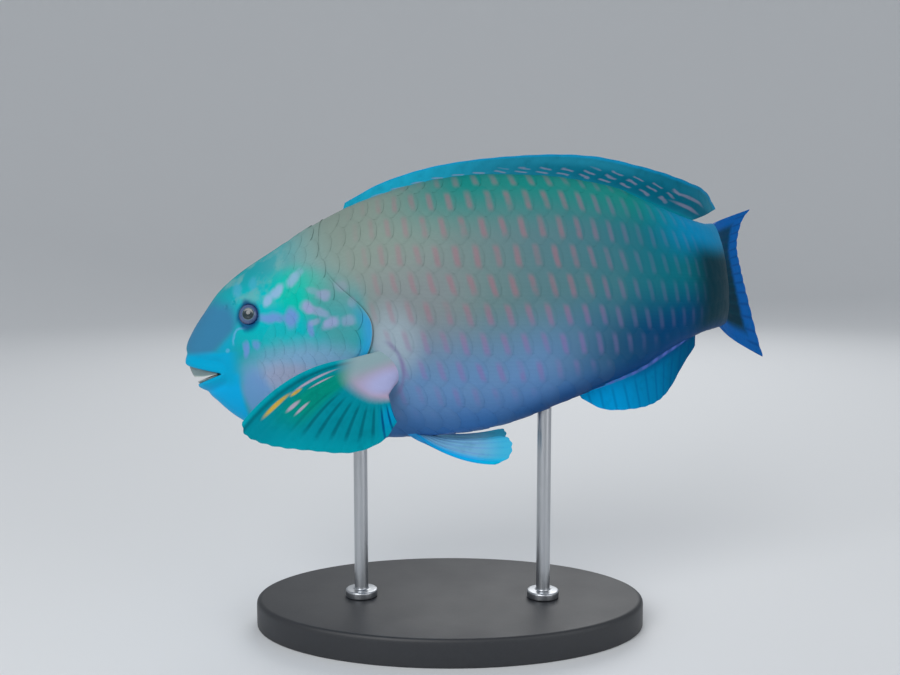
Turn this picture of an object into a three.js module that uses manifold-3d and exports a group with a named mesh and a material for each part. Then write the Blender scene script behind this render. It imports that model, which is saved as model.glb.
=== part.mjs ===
// A life-size still model of a parrotfish on a plain display stand.
// Units are millimetres. +Z is up, the head points towards -X and the left side faces -Y.
// The origin is the centre of the underside of the stand's base.

import * as THREE from 'three';
import { mergeVertices } from 'three/addons/utils/BufferGeometryUtils.js';
import Module from 'manifold-3d';

const wasm = await Module();
wasm.setup();

// Driving sizes of the fish
const BODY_LENGTH = 270;
const SNOUT = new THREE.Vector3(-118, 11, 120);
const TAIL_UP = THREE.MathUtils.degToRad(7.8);
const TOUCH_GAP = 0.3;
const FIN_LIFT = 0.5;
const ROOT_GAP = FIN_LIFT / BODY_LENGTH;

// The bend of the body: place along the body, and yaw of the line from snout to tail in degrees.
// A place is a share of BODY_LENGTH: 0 is the snout and 1 is the root of the tail fin.
const BEND = [
  [-0.1, -10], [0, -10], [0.25, -9], [0.45, 0.5], [0.6, 7.5],
  [0.75, 20], [0.88, 45], [1, 66], [1.12, 56], [1.5, 54],
];

// The outline of the body: place, back height, belly height and half width,
// all as shares of BODY_LENGTH, measured from the straight line between snout and tail.
const OUTLINE = [
  [0.008, -0.012, -0.012, 0],
  [0.012, 0.009, -0.04, 0.02],
  [0.024, 0.027, -0.062, 0.033],
  [0.05, 0.056, -0.09, 0.046],
  [0.08, 0.086, -0.121, 0.054],
  [0.125, 0.114, -0.149, 0.063],
  [0.18, 0.139, -0.165, 0.072],
  [0.25, 0.171, -0.177, 0.082],
  [0.33, 0.197, -0.182, 0.089],
  [0.42, 0.212, -0.188, 0.091],
  [0.5, 0.2145, -0.186, 0.087],
  [0.58, 0.205, -0.17, 0.078],
  [0.66, 0.189, -0.151, 0.066],
  [0.74, 0.163, -0.131, 0.053],
  [0.81, 0.127, -0.107, 0.042],
  [0.88, 0.1, -0.097, 0.033],
  [0.94, 0.086, -0.098, 0.026],
  [1, 0.082, -0.103, 0.02],
];
const BACK_POWER = 1.9;
const BELLY_POWER = 2.25;

// Where the body is parted
const GILL_EDGE_SIDE = 0.337;
const GILL_EDGE_ABOVE = { end: 0.266, flap: 0.42 };
const GILL_EDGE_BELOW = { end: 0.205, flap: 0.57 };
const GILL_CAP_CENTRE = 0.3;
const PART_GAP = 0.4 / BODY_LENGTH;
const STALK_START = 0.895;

// Gill cover
const GILL_RAISE = 1;
const GILL_RAMP_START = 0.8;

// Mouth and lips
const MOUTH_CORNER = { place: 0.081, height: -0.0425 };
const MOUTH_RISE = 0.25;
const MOUTH_DROP = 0.285;
const MOUTH_FRONT = -0.03;
const LIP_RAISE = 0.9;
const LIP_WIDTH = 2.4;
const LIP_CREASE_AT = 4.8;
const LIP_CREASE_WIDTH = 1.5;
const LIP_CREASE_DEPTH = 0.5;

// Beak plates
const BEAK_INSET = 0.8;
const BEAK_END = 0.09;
// place and height along each cutting edge, from the front to the rear
const BEAK_EDGE_UPPER = [[MOUTH_FRONT, -0.0455], [0.045, -0.0455], [0.066, -0.0435]];
const BEAK_EDGE_LOWER = [[MOUTH_FRONT, -0.0655], [0.025, -0.054], [0.066, -0.0455]];

// Eyes and nostrils
const EYE = { place: 0.145, height: 0.046 };
const EYE_RADIUS = 5.8;
const EYE_DEPTH = 4;
const PUPIL_RADIUS = 1.9;
const PUPIL_RAISE = 0.2;
const ORBIT_RADIUS = 6.6;
const ORBIT_WIDTH = 3.4;
const ORBIT_RAISE = 0.5;
const NOSTRILS = [
  { place: 0.103, height: 0.06, radius: 0.8 },
  { place: 0.118, height: 0.066, radius: 1 },
];

// Fins: how thick they are at the root, over the membrane and on a ray
const MEMBRANE_HALF = 0.4;
const RAY_RAISE = 0.3;
const RAY_SHARE = 0.27;

const DORSAL = {
  rays: 19,
  rows: [0, 0.14, 0.34, 0.56, 0.78, 1],
  rootHalf: 1.1,
  // share across the fin, place of the base, place of the tip, height of the tip
  spread: [
    [0, 0.3, 0.306, 0.197],
    [0.1, 0.358, 0.372, 0.2205],
    [0.25, 0.446, 0.468, 0.2345],
    [0.45, 0.563, 0.6, 0.2315],
    [0.6, 0.651, 0.706, 0.217],
    [0.72, 0.721, 0.8, 0.1885],
    [0.84, 0.792, 0.9, 0.158],
    [0.93, 0.844, 1.005, 0.132],
    [1, 0.885, 1.06, 0.104],
  ],
};

const ANAL = {
  rays: 12,
  rows: [0, 0.14, 0.36, 0.58, 0.8, 1],
  rootHalf: 1.1,
  spread: [
    [0, 0.632, 0.638, -0.163],
    [0.15, 0.668, 0.672, -0.186],
    [0.35, 0.715, 0.722, -0.1945],
    [0.55, 0.763, 0.762, -0.192],
    [0.75, 0.811, 0.793, -0.176],
    [0.9, 0.847, 0.832, -0.139],
    [1, 0.871, 0.866, -0.115],
  ],
};

const CAUDAL = {
  rays: 15,
  rows: [0, 0.12, 0.28, 0.46, 0.64, 0.82, 1],
  // share across the fin, place of the tip, height of the tip
  spread: [
    [0, 1.25, 0.092],
    [0.1, 1.2, 0.073],
    [0.3, 1.158, 0.03],
    [0.5, 1.165, -0.015],
    [0.7, 1.185, -0.073],
    [0.9, 1.215, -0.155],
    [1, 1.236, -0.2],
  ],
};

const PECTORAL = {
  rays: 14,
  rows: [0, 0.1, 0.2, 0.34, 0.5, 0.66, 0.83, 1],
  lobeShare: 0.2,
  lobeHalf: 1.6,
  rootSpread: 0.011,
  // share across the fin, then place and height of the root on the body
  roots: [[0, 0.346, -0.032], [0.5, 0.356, -0.058], [1, 0.357, -0.086]],
  // share across the fin, then place, outward distance and height of the base of the rays
  knuckles: [[0, 0.302, 0.107, -0.036], [0.35, 0.302, 0.112, -0.066], [0.7, 0.325, 0.114, -0.089], [1, 0.35, 0.113, -0.096]],
  // share across the fin, then place, outward distance and height of the tips of the rays
  tips: [
    [0, 0.156, 0.182, -0.102],
    [0.12, 0.16, 0.184, -0.121],
    [0.3, 0.193, 0.181, -0.14],
    [0.5, 0.245, 0.172, -0.155],
    [0.7, 0.3, 0.16, -0.167],
    [0.85, 0.338, 0.144, -0.158],
    [1, 0.358, 0.124, -0.135],
  ],
  bow: 0.02,
};

const PELVIC = {
  rays: 6,
  rows: [0, 0.12, 0.3, 0.5, 0.75, 1],
  rootHalf: 1.2,
  // share across the fin, then place and outward distance of the root on the belly
  roots: [[0, 0.361, 0.033], [1, 0.377, 0.011]],
  tips: [
    [0, 0.484, 0.05, -0.236],
    [0.25, 0.505, 0.049, -0.228],
    [0.55, 0.513, 0.044, -0.21],
    [0.8, 0.508, 0.036, -0.199],
    [1, 0.494, 0.026, -0.197],
  ],
  bow: -0.013,
};

// Display stand
const BASE_LENGTH = 170;
const BASE_WIDTH = 104;
const BASE_HEIGHT = 12;
const BASE_BEVEL = 2.5;
const ROD_RADIUS = 3;
const ROD_COLLAR_RADIUS = 7;
const ROD_COLLAR_HEIGHT = 3;
const ROD_REACH = 14;
const ROD_PLACES = { stand_rod_front: 0.275, stand_rod_rear: 0.575 };

// How finely the surfaces are divided
const HEAD_STEPS = 38;
const BODY_SIDES = 52;
const TORSO_STEPS = 20;
const TORSO_EASE = 1.3;
const STALK_STEPS = 6;
const BEAK_STEPS = 14;
const BEAK_SIDES = 36;
const EYE_SIDES = 22;
const EYE_BENDS = 10;

// A smooth curve through a list of places and values
function curveThrough(places, values) {
  const last = places.length - 1;
  const slopes = places.map((_, i) => {
    const before = Math.max(i - 1, 0);
    const after = Math.min(i + 1, last);
    return (values[after] - values[before]) / (places[after] - places[before]);
  });
  return (place) => {
    const x = THREE.MathUtils.clamp(place, places[0], places[last]);
    let i = 0;
    while (i < last - 1 && x > places[i + 1]) i += 1;
    const step = places[i + 1] - places[i];
    const t = (x - places[i]) / step;
    const rise = values[i + 1] - values[i];
    const startBend = slopes[i] * step - rise;
    const endBend = rise - slopes[i + 1] * step;
    return values[i] + t * rise + t * (1 - t) * (startBend * (1 - t) + endBend * t);
  };
}

function columnCurve(rows, column, warp = (x) => x) {
  return curveThrough(rows.map((row) => warp(row[0])), rows.map((row) => row[column]));
}

// The body line, walked in small steps along the bend
const LINE_STEP = 0.0025;
const bodyLine = (() => {
  const yaw = columnCurve(BEND, 1);
  const points = [{ x: 0, y: 0 }];
  for (let i = 0; i * LINE_STEP < 1.5; i += 1) {
    const turn = THREE.MathUtils.degToRad(yaw((i + 0.5) * LINE_STEP));
    const from = points[i];
    points.push({ x: from.x + Math.cos(turn) * LINE_STEP, y: from.y + Math.sin(turn) * LINE_STEP });
  }
  return { yaw, points };
})();

// A point given by place along the body, distance to the left and height, all as shares of BODY_LENGTH
function toWorld(place, left, height) {
  const turn = THREE.MathUtils.degToRad(bodyLine.yaw(place));
  const walked = Math.max(place, 0) / LINE_STEP;
  const i = Math.floor(walked);
  const part = walked - i;
  const from = bodyLine.points[i];
  const to = bodyLine.points[i + 1];
  const ahead = Math.min(place, 0);
  const x = THREE.MathUtils.lerp(from.x, to.x, part) + ahead * Math.cos(turn) + left * Math.sin(turn);
  const y = THREE.MathUtils.lerp(from.y, to.y, part) + ahead * Math.sin(turn) - left * Math.cos(turn);
  const tilted = new THREE.Vector3(
    Math.cos(TAIL_UP) * x - Math.sin(TAIL_UP) * height,
    y,
    Math.sin(TAIL_UP) * x + Math.cos(TAIL_UP) * height,
  );
  return tilted.multiplyScalar(BODY_LENGTH).add(SNOUT);
}

// The outline is smooth in the square root of the distance from the snout, which keeps the snout blunt
const SNOUT_PLACE = OUTLINE[0][0];
const fromSnout = (place) => Math.sqrt(Math.max(place - SNOUT_PLACE, 0));
const outline = {
  back: columnCurve(OUTLINE, 1, fromSnout),
  belly: columnCurve(OUTLINE, 2, fromSnout),
  half: columnCurve(OUTLINE, 3, fromSnout),
};

function sectionAt(place) {
  const along = fromSnout(place);
  const back = outline.back(along);
  const belly = outline.belly(along);
  return { back, belly, half: outline.half(along), middle: (back + belly) / 2 };
}

function signedPower(value, power) {
  return Math.sign(value) * Math.abs(value) ** power;
}

// A turn of 0 is the left side, a quarter turn is the back
function sectionPoint(place, turn) {
  const section = sectionAt(place);
  const across = Math.cos(turn);
  const up = Math.sin(turn);
  const power = up > 0 ? BACK_POWER : BELLY_POWER;
  const reach = up > 0 ? section.back - section.middle : section.middle - section.belly;
  return {
    left: section.half * signedPower(across, 2 / power),
    height: section.middle + reach * signedPower(up, 2 / power),
  };
}

function surfacePoint(place, turn) {
  const point = sectionPoint(place, turn);
  return toWorld(place, point.left, point.height);
}

function surfaceNormal(place, turn) {
  const small = 0.002;
  const behind = Math.max(place - small, SNOUT_PLACE);
  const along = surfacePoint(place + small, turn).sub(surfacePoint(behind, turn));
  const around = surfacePoint(place, turn + small).sub(surfacePoint(place, turn - small));
  return along.cross(around).normalize();
}

// A point of the skin, lifted by some millimetres
function skinPoint(place, turn, lift = 0) {
  if (place <= SNOUT_PLACE) return toWorld(place - lift / BODY_LENGTH, 0, sectionAt(place).middle);
  return surfacePoint(place, turn).addScaledVector(surfaceNormal(place, turn), lift);
}

function turnAtHeight(place, height) {
  const section = sectionAt(place);
  const power = height > section.middle ? BACK_POWER : BELLY_POWER;
  const share = (height - section.middle) / (section.back - section.middle);
  return Math.asin(THREE.MathUtils.clamp(signedPower(share, power / 2), -1, 1));
}

function turnAtLeft(place, left, isBack) {
  const power = isBack ? BACK_POWER : BELLY_POWER;
  const share = THREE.MathUtils.clamp(left / sectionAt(place).half, -1, 1);
  const turn = Math.acos(signedPower(share, power / 2));
  return isBack ? turn : -turn;
}

// Where the gill cover ends at each turn round the body: a rounded flap, furthest back at the side
function gillEdge(turn) {
  const up = Math.sin(turn);
  const { end, flap } = up > 0 ? GILL_EDGE_ABOVE : GILL_EDGE_BELOW;
  const bend = 1 - Math.exp(-((up / flap) ** 2));
  return THREE.MathUtils.lerp(GILL_EDGE_SIDE, end, bend);
}

// How far the lips stand out and their crease lies in, at a place and height on the head
function lipRelief(place, height) {
  const ahead = MOUTH_CORNER.place - place;
  const above = Math.abs(height - MOUTH_CORNER.height);
  const slope = height > MOUTH_CORNER.height ? MOUTH_RISE : MOUTH_DROP;
  const off = ahead > 0
    ? Math.abs(above - ahead * slope) / Math.hypot(1, slope)
    : Math.hypot(ahead, above);
  const distance = off * BODY_LENGTH;
  const fade = 1 - THREE.MathUtils.smoothstep(-ahead, 0, 0.016);
  const lip = LIP_RAISE * Math.exp(-((distance / LIP_WIDTH) ** 2));
  const crease = LIP_CREASE_DEPTH * Math.exp(-(((distance - LIP_CREASE_AT) / LIP_CREASE_WIDTH) ** 2));
  return fade * (lip - crease);
}

function orbitRelief(place, height) {
  const distance = Math.hypot(place - EYE.place, height - EYE.height) * BODY_LENGTH;
  return ORBIT_RAISE * Math.exp(-(((distance - ORBIT_RADIUS) / ORBIT_WIDTH) ** 2));
}

function gillRelief(share, turn) {
  const ramp = THREE.MathUtils.smoothstep(share, GILL_RAMP_START, 1);
  const sideways = Math.abs(Math.cos(turn)) ** 0.7;
  return GILL_RAISE * ramp * sideways;
}

// Closed shells are kept as a list of points and a list of triangles
function shellVolume(shell) {
  return shell.faces.reduce((sum, [a, b, c]) => {
    const [p, q, r] = [shell.points[a], shell.points[b], shell.points[c]];
    return sum + p.dot(new THREE.Vector3().crossVectors(q, r)) / 6;
  }, 0);
}

function facedOutward(shell) {
  if (shellVolume(shell) >= 0) return shell;
  return { points: shell.points, faces: shell.faces.map(([a, b, c]) => [a, c, b]) };
}

// A closed body from rings of points, each end closed onto one point
function loft(rings, frontEnd, rearEnd) {
  const sides = rings[0].length;
  const points = [frontEnd, ...rings.flat(), rearEnd];
  const at = (ring, side) => 1 + ring * sides + (side % sides);
  const faces = [];
  for (let side = 0; side < sides; side += 1) {
    faces.push([0, at(0, side), at(0, side + 1)]);
    for (let ring = 0; ring < rings.length - 1; ring += 1) {
      faces.push([at(ring, side), at(ring + 1, side), at(ring + 1, side + 1)]);
      faces.push([at(ring, side), at(ring + 1, side + 1), at(ring, side + 1)]);
    }
    faces.push([points.length - 1, at(rings.length - 1, side + 1), at(rings.length - 1, side)]);
  }
  return facedOutward({ points, faces });
}

function ringOf(sides, pointAt) {
  return Array.from({ length: sides }, (_, side) => pointAt((side / sides) * Math.PI * 2));
}

function middlePoint(place) {
  return toWorld(place, 0, sectionAt(place).middle);
}

// Solids for cutting and joining
function solidFromShell(shell) {
  const vertProperties = new Float32Array(shell.points.flatMap((point) => point.toArray()));
  const triVerts = new Uint32Array(shell.faces.flat());
  const mesh = new wasm.Mesh({ numProp: 3, vertProperties, triVerts });
  mesh.merge();
  return new wasm.Manifold(mesh);
}

function solidFromGeometry(geometry) {
  const bare = geometry.clone();
  bare.deleteAttribute('normal');
  bare.deleteAttribute('uv');
  const merged = mergeVertices(bare, 1e-4);
  const vertProperties = new Float32Array(merged.attributes.position.array);
  const triVerts = new Uint32Array(merged.index.array);
  return new wasm.Manifold(new wasm.Mesh({ numProp: 3, vertProperties, triVerts }));
}

function geometryFromSolid(solid) {
  const largest = solid.decompose().reduce((a, b) => (a.volume() > b.volume() ? a : b));
  const mesh = largest.getMesh();
  const positions = new Float32Array(mesh.numVert * 3);
  for (let i = 0; i < mesh.numVert; i += 1) {
    for (let axis = 0; axis < 3; axis += 1) {
      positions[i * 3 + axis] = mesh.vertProperties[i * mesh.numProp + axis];
    }
  }
  const geometry = new THREE.BufferGeometry();
  geometry.setAttribute('position', new THREE.BufferAttribute(positions, 3));
  geometry.setIndex(new THREE.BufferAttribute(new Uint32Array(mesh.triVerts), 1));
  return geometry;
}

function geometryFromShell(shell) {
  const geometry = new THREE.BufferGeometry();
  const positions = new Float32Array(shell.points.flatMap((point) => point.toArray()));
  geometry.setAttribute('position', new THREE.BufferAttribute(positions, 3));
  geometry.setIndex(shell.faces.flat());
  return geometry;
}

// Head: a loft with lips, orbits and gill covers in relief, then the mouth, sockets and nostrils cut out
function headShell() {
  const rings = [];
  for (let step = 1; step <= HEAD_STEPS; step += 1) {
    const share = step / HEAD_STEPS;
    rings.push(ringOf(BODY_SIDES, (turn) => {
      const place = THREE.MathUtils.lerp(SNOUT_PLACE, gillEdge(turn), share ** 2);
      const height = sectionPoint(place, turn).height;
      const relief = lipRelief(place, height) + orbitRelief(place, height) + gillRelief(share, turn);
      return skinPoint(place, turn, relief);
    }));
  }
  rings.push(ringOf(BODY_SIDES, (turn) => skinPoint(gillEdge(turn), turn)));
  return loft(rings, skinPoint(SNOUT_PLACE, 0), middlePoint(GILL_CAP_CENTRE));
}

// A prism across the whole head from an outline of places and heights
function acrossHead(corners) {
  const shape = new THREE.Shape(corners.map(([place, height]) => new THREE.Vector2(place, height)));
  const reach = 0.1;
  const geometry = new THREE.ExtrudeGeometry(shape, { depth: 2 * reach, bevelEnabled: false });
  const positions = geometry.attributes.position;
  for (let i = 0; i < positions.count; i += 1) {
    const point = toWorld(positions.getX(i), positions.getZ(i) - reach, positions.getY(i));
    positions.setXYZ(i, point.x, point.y, point.z);
  }
  return solidFromGeometry(geometry);
}

function mouthWall(place, side, clearance = 0) {
  const slope = side > 0 ? MOUTH_RISE : MOUTH_DROP;
  return MOUTH_CORNER.height + side * ((MOUTH_CORNER.place - place) * slope - clearance / BODY_LENGTH);
}

function mouthCut() {
  return acrossHead([
    [MOUTH_CORNER.place, MOUTH_CORNER.height],
    [MOUTH_FRONT, mouthWall(MOUTH_FRONT, 1)],
    [MOUTH_FRONT, mouthWall(MOUTH_FRONT, -1)],
  ]);
}

function beak(side, edge) {
  const rings = [];
  for (let step = 1; step <= BEAK_STEPS; step += 1) {
    const place = THREE.MathUtils.lerp(SNOUT_PLACE, BEAK_END, (step / BEAK_STEPS) ** 2);
    rings.push(ringOf(BEAK_SIDES, (turn) => skinPoint(place, turn, -BEAK_INSET)));
  }
  const core = solidFromShell(loft(rings, skinPoint(SNOUT_PLACE, 0, -BEAK_INSET), middlePoint(BEAK_END)));
  const rear = edge.at(-1)[0];
  const jaw = acrossHead([
    [rear, mouthWall(rear, side, TOUCH_GAP)],
    [MOUTH_FRONT, mouthWall(MOUTH_FRONT, side, TOUCH_GAP)],
    ...edge,
  ]);
  return core.intersect(jaw);
}

// Places an upright solid of revolution on the skin, its axis along the skin's outward direction
function onSkin(geometry, spot, mirror) {
  const turn = turnAtHeight(spot.place, spot.height);
  const sided = mirror ? Math.PI - turn : turn;
  const outward = surfaceNormal(spot.place, sided);
  const stand = new THREE.Quaternion().setFromUnitVectors(new THREE.Vector3(0, 1, 0), outward);
  const placed = geometry.clone();
  placed.applyQuaternion(stand);
  const at = surfacePoint(spot.place, sided);
  placed.translate(at.x, at.y, at.z);
  return placed;
}

function eyeProfile(radius, withPupil) {
  const points = [];
  for (let i = 0; i <= EYE_BENDS; i += 1) {
    const angle = -Math.PI / 2 + (Math.PI * i) / EYE_BENDS;
    const out = i === 0 || i === EYE_BENDS ? 0 : radius * Math.cos(angle);
    points.push(new THREE.Vector2(out, radius * Math.sin(angle) - EYE_DEPTH));
  }
  if (!withPupil) return points;
  const rim = points.filter((point) => point.x > PUPIL_RADIUS || point.y < -EYE_DEPTH);
  const level = Math.sqrt(radius ** 2 - PUPIL_RADIUS ** 2) - EYE_DEPTH;
  return [
    ...rim,
    new THREE.Vector2(PUPIL_RADIUS, level),
    new THREE.Vector2(PUPIL_RADIUS * 0.92, level + PUPIL_RAISE),
    new THREE.Vector2(PUPIL_RADIUS * 0.5, level + PUPIL_RAISE + 0.24),
    new THREE.Vector2(0, level + PUPIL_RAISE + 0.32),
  ];
}

function eyeGeometry(mirror) {
  return onSkin(new THREE.LatheGeometry(eyeProfile(EYE_RADIUS, true), EYE_SIDES), EYE, mirror);
}

function headSolid() {
  let head = solidFromShell(headShell()).subtract(mouthCut());
  const socket = new THREE.LatheGeometry(eyeProfile(EYE_RADIUS + TOUCH_GAP, false), EYE_SIDES);
  for (const mirror of [false, true]) {
    head = head.subtract(solidFromGeometry(onSkin(socket, EYE, mirror)));
    for (const nostril of NOSTRILS) {
      const pit = new THREE.SphereGeometry(nostril.radius, 10, 8);
      head = head.subtract(solidFromGeometry(onSkin(pit, nostril, mirror)));
    }
  }
  return head;
}

// Torso, from the gill covers to the tail stalk
function torsoShell(lift) {
  const rings = [];
  for (let step = 0; step <= TORSO_STEPS; step += 1) {
    rings.push(ringOf(BODY_SIDES, (turn) => {
      const start = gillEdge(turn) + PART_GAP;
      const share = 1 - (1 - step / TORSO_STEPS) ** TORSO_EASE;
      const place = THREE.MathUtils.lerp(start, STALK_START - PART_GAP, share);
      return skinPoint(place, turn, lift);
    }));
  }
  const front = middlePoint(GILL_CAP_CENTRE + PART_GAP);
  return loft(rings, front, middlePoint(STALK_START - PART_GAP));
}

function stalkShell() {
  const rings = [];
  for (let step = 0; step <= STALK_STEPS; step += 1) {
    const place = THREE.MathUtils.lerp(STALK_START, 1, step / STALK_STEPS);
    rings.push(ringOf(BODY_SIDES, (turn) => skinPoint(place, turn)));
  }
  return loft(rings, middlePoint(STALK_START), middlePoint(1));
}

// Shares across a fin: three for each ray, so that each ray is a ridge with membrane between
function rayColumns(rays) {
  const pitch = 1 / (rays - 1 + 2 * RAY_SHARE);
  const columns = [];
  for (let ray = 0; ray < rays; ray += 1) {
    const middle = (ray + RAY_SHARE) * pitch;
    columns.push({ share: middle - RAY_SHARE * pitch, crest: false });
    columns.push({ share: middle, crest: true });
    columns.push({ share: middle + RAY_SHARE * pitch, crest: false });
  }
  return columns;
}

// A closed fin: the same grid of triangles on both faces, joined round the edge.
// faceAt(share across, share out, crest, side) gives a point of one face.
function finShell(columns, rows, faceAt) {
  const points = [];
  for (const side of [1, -1]) {
    for (const out of rows) {
      for (const column of columns) {
        points.push(faceAt(column.share, out, column.crest, side));
      }
    }
  }
  const wide = columns.length;
  const sheet = wide * rows.length;
  const faces = [];
  for (let row = 0; row < rows.length - 1; row += 1) {
    for (let i = 0; i < wide - 1; i += 1) {
      const a = row * wide + i;
      const [b, c, d] = [a + 1, a + wide, a + wide + 1];
      faces.push([a, b, d], [a, d, c]);
      faces.push([a + sheet, d + sheet, b + sheet], [a + sheet, c + sheet, d + sheet]);
    }
  }
  const border = [];
  for (let i = 0; i < wide - 1; i += 1) border.push([i + 1, i]);
  for (let row = 0; row < rows.length - 1; row += 1) border.push([row * wide, (row + 1) * wide]);
  for (let i = 0; i < wide - 1; i += 1) border.push([sheet - wide + i, sheet - wide + i + 1]);
  for (let row = rows.length - 1; row > 0; row -= 1) border.push([(row + 1) * wide - 1, row * wide - 1]);
  for (const [a, b] of border) {
    faces.push([a, b, b + sheet], [a, b + sheet, a + sheet]);
  }
  return facedOutward({ points, faces });
}

// Half the thickness of a fin, thick at the root and thin at the margin
function finHalf(out, crest, rootHalf, rayStart = -1) {
  const root = (rootHalf - MEMBRANE_HALF) * (1 - THREE.MathUtils.smoothstep(out, 0, 0.3));
  const thin = MEMBRANE_HALF * (1 - 0.35 * out);
  const ray = RAY_RAISE * (1 - 0.5 * out) * THREE.MathUtils.smoothstep(out, rayStart, rayStart + 0.15);
  return root + thin + (crest ? ray : 0);
}

// The dorsal and anal fins stand in the middle plane, with their roots on the back or belly
function middleFin(fin, isBack) {
  const base = columnCurve(fin.spread, 1);
  const tip = columnCurve(fin.spread, 2);
  const tipHeight = columnCurve(fin.spread, 3);
  const rootHeight = (place) => (isBack ? sectionAt(place).back + ROOT_GAP : sectionAt(place).belly - ROOT_GAP);
  return finShell(rayColumns(fin.rays), fin.rows, (share, out, crest, side) => {
    const left = (side * finHalf(out, crest, fin.rootHalf)) / BODY_LENGTH;
    const root = base(share);
    if (out === 0) return skinPoint(root, turnAtLeft(root, left, isBack), FIN_LIFT);
    const place = THREE.MathUtils.lerp(root, tip(share), out);
    const height = THREE.MathUtils.lerp(rootHeight(root), tipHeight(share), out);
    return toWorld(place, left, height);
  });
}

function caudalFin() {
  const tip = columnCurve(CAUDAL.spread, 1);
  const tipHeight = columnCurve(CAUDAL.spread, 2);
  const stalk = sectionAt(1);
  const start = 1 + PART_GAP;
  return finShell(rayColumns(CAUDAL.rays), CAUDAL.rows, (share, out, crest, side) => {
    const root = THREE.MathUtils.lerp(stalk.back, stalk.belly, 0.02 + 0.96 * share);
    const across = (2 * root - stalk.back - stalk.belly) / (stalk.back - stalk.belly);
    const rootHalf = 0.9 * stalk.half * BODY_LENGTH * Math.sqrt(1 - across ** 2);
    const left = (side * finHalf(out, crest, Math.max(rootHalf, MEMBRANE_HALF))) / BODY_LENGTH;
    const place = THREE.MathUtils.lerp(start, tip(share), out);
    const height = THREE.MathUtils.lerp(root, tipHeight(share), out ** 0.9);
    return toWorld(place, left, height);
  });
}

// A fin whose middle surface is known: its faces lie to both sides of that surface
function sheetPoint(middleAt, share, out, half, side) {
  const small = 0.01;
  const along = middleAt(share + small, out).sub(middleAt(share - small, out));
  const outward = middleAt(share, out + small).sub(middleAt(share, out - small));
  const normal = along.cross(outward).normalize();
  return middleAt(share, out).addScaledVector(normal, side * half);
}

function pectoralFin(mirror) {
  const flip = mirror ? -1 : 1;
  const root = [1, 2].map((column) => columnCurve(PECTORAL.roots, column));
  const knuckle = [1, 2, 3].map((column) => columnCurve(PECTORAL.knuckles, column));
  const tip = [1, 2, 3].map((column) => columnCurve(PECTORAL.tips, column));
  const rootOn = (share, ahead) => {
    const place = root[0](share) + ahead;
    const turn = turnAtHeight(place, root[1](share));
    return skinPoint(place, mirror ? Math.PI - turn : turn, FIN_LIFT);
  };
  const fan = (share, out) => {
    const reach = (out - PECTORAL.lobeShare) / (1 - PECTORAL.lobeShare);
    const [place, left, height] = knuckle.map((curve, i) => THREE.MathUtils.lerp(curve(share), tip[i](share), reach));
    const bow = PECTORAL.bow * 4 * reach * (1 - reach);
    return toWorld(place, flip * (left + 0.3 * bow), height + bow * (1 - 1.2 * share));
  };
  return finShell(rayColumns(PECTORAL.rays), PECTORAL.rows, (share, out, crest, side) => {
    const edge = 0.5 + 0.5 * Math.sqrt(1 - (2 * share - 1) ** 2);
    if (out >= PECTORAL.lobeShare) {
      const fade = 1 - THREE.MathUtils.smoothstep(out, PECTORAL.lobeShare, 0.42);
      const thick = (PECTORAL.lobeHalf - MEMBRANE_HALF) * edge * fade;
      const half = finHalf(out, crest, MEMBRANE_HALF, PECTORAL.lobeShare) + thick;
      return sheetPoint(fan, share, out, half, side * flip);
    }
    const start = rootOn(share, -side * edge * PECTORAL.rootSpread);
    if (out === 0) return start;
    const knucklePoint = sheetPoint(fan, share, PECTORAL.lobeShare, PECTORAL.lobeHalf * edge, side * flip);
    return start.lerp(knucklePoint, out / PECTORAL.lobeShare);
  });
}

function pelvicFin(mirror) {
  const flip = mirror ? -1 : 1;
  const root = [1, 2].map((column) => columnCurve(PELVIC.roots, column));
  const tip = [1, 2, 3].map((column) => columnCurve(PELVIC.tips, column));
  const bellyPoint = (place, left, lift) => skinPoint(place, turnAtLeft(place, flip * left, false), lift);
  const [, startPlace, startLeft] = PELVIC.roots[0];
  const [, endPlace, endLeft] = PELVIC.roots[1];
  const across = new THREE.Vector2(startLeft - endLeft, endPlace - startPlace).normalize();
  const middleAt = (share, out) => {
    const [place, left] = root.map((curve) => curve(share));
    const belly = sectionPoint(place, turnAtLeft(place, left, false));
    const bow = PELVIC.bow * 4 * out * (1 - out) * (1 - 0.55 * share);
    return toWorld(
      THREE.MathUtils.lerp(place, tip[0](share), out),
      flip * THREE.MathUtils.lerp(left, tip[1](share), out),
      THREE.MathUtils.lerp(belly.height - ROOT_GAP, tip[2](share), out) + bow,
    );
  };
  return finShell(rayColumns(PELVIC.rays), PELVIC.rows, (share, out, crest, side) => {
    const half = finHalf(out, crest, PELVIC.rootHalf);
    if (out === 0) {
      const spread = (-side * half) / BODY_LENGTH;
      return bellyPoint(root[0](share) + spread * across.x, root[1](share) + spread * across.y, FIN_LIFT);
    }
    return sheetPoint(middleAt, share, out, half, side * flip);
  });
}

// Stand
function standBase() {
  const radius = BASE_LENGTH / 2;
  const profile = [
    [0, 0], [radius - 1, 0], [radius, 1], [radius, BASE_HEIGHT - BASE_BEVEL],
    [radius - BASE_BEVEL, BASE_HEIGHT], [0, BASE_HEIGHT],
  ].map(([x, y]) => new THREE.Vector2(x, y));
  const geometry = new THREE.LatheGeometry(profile, 64);
  geometry.rotateX(Math.PI / 2);
  geometry.scale(1, BASE_WIDTH / BASE_LENGTH, 1);
  return geometry;
}

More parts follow.
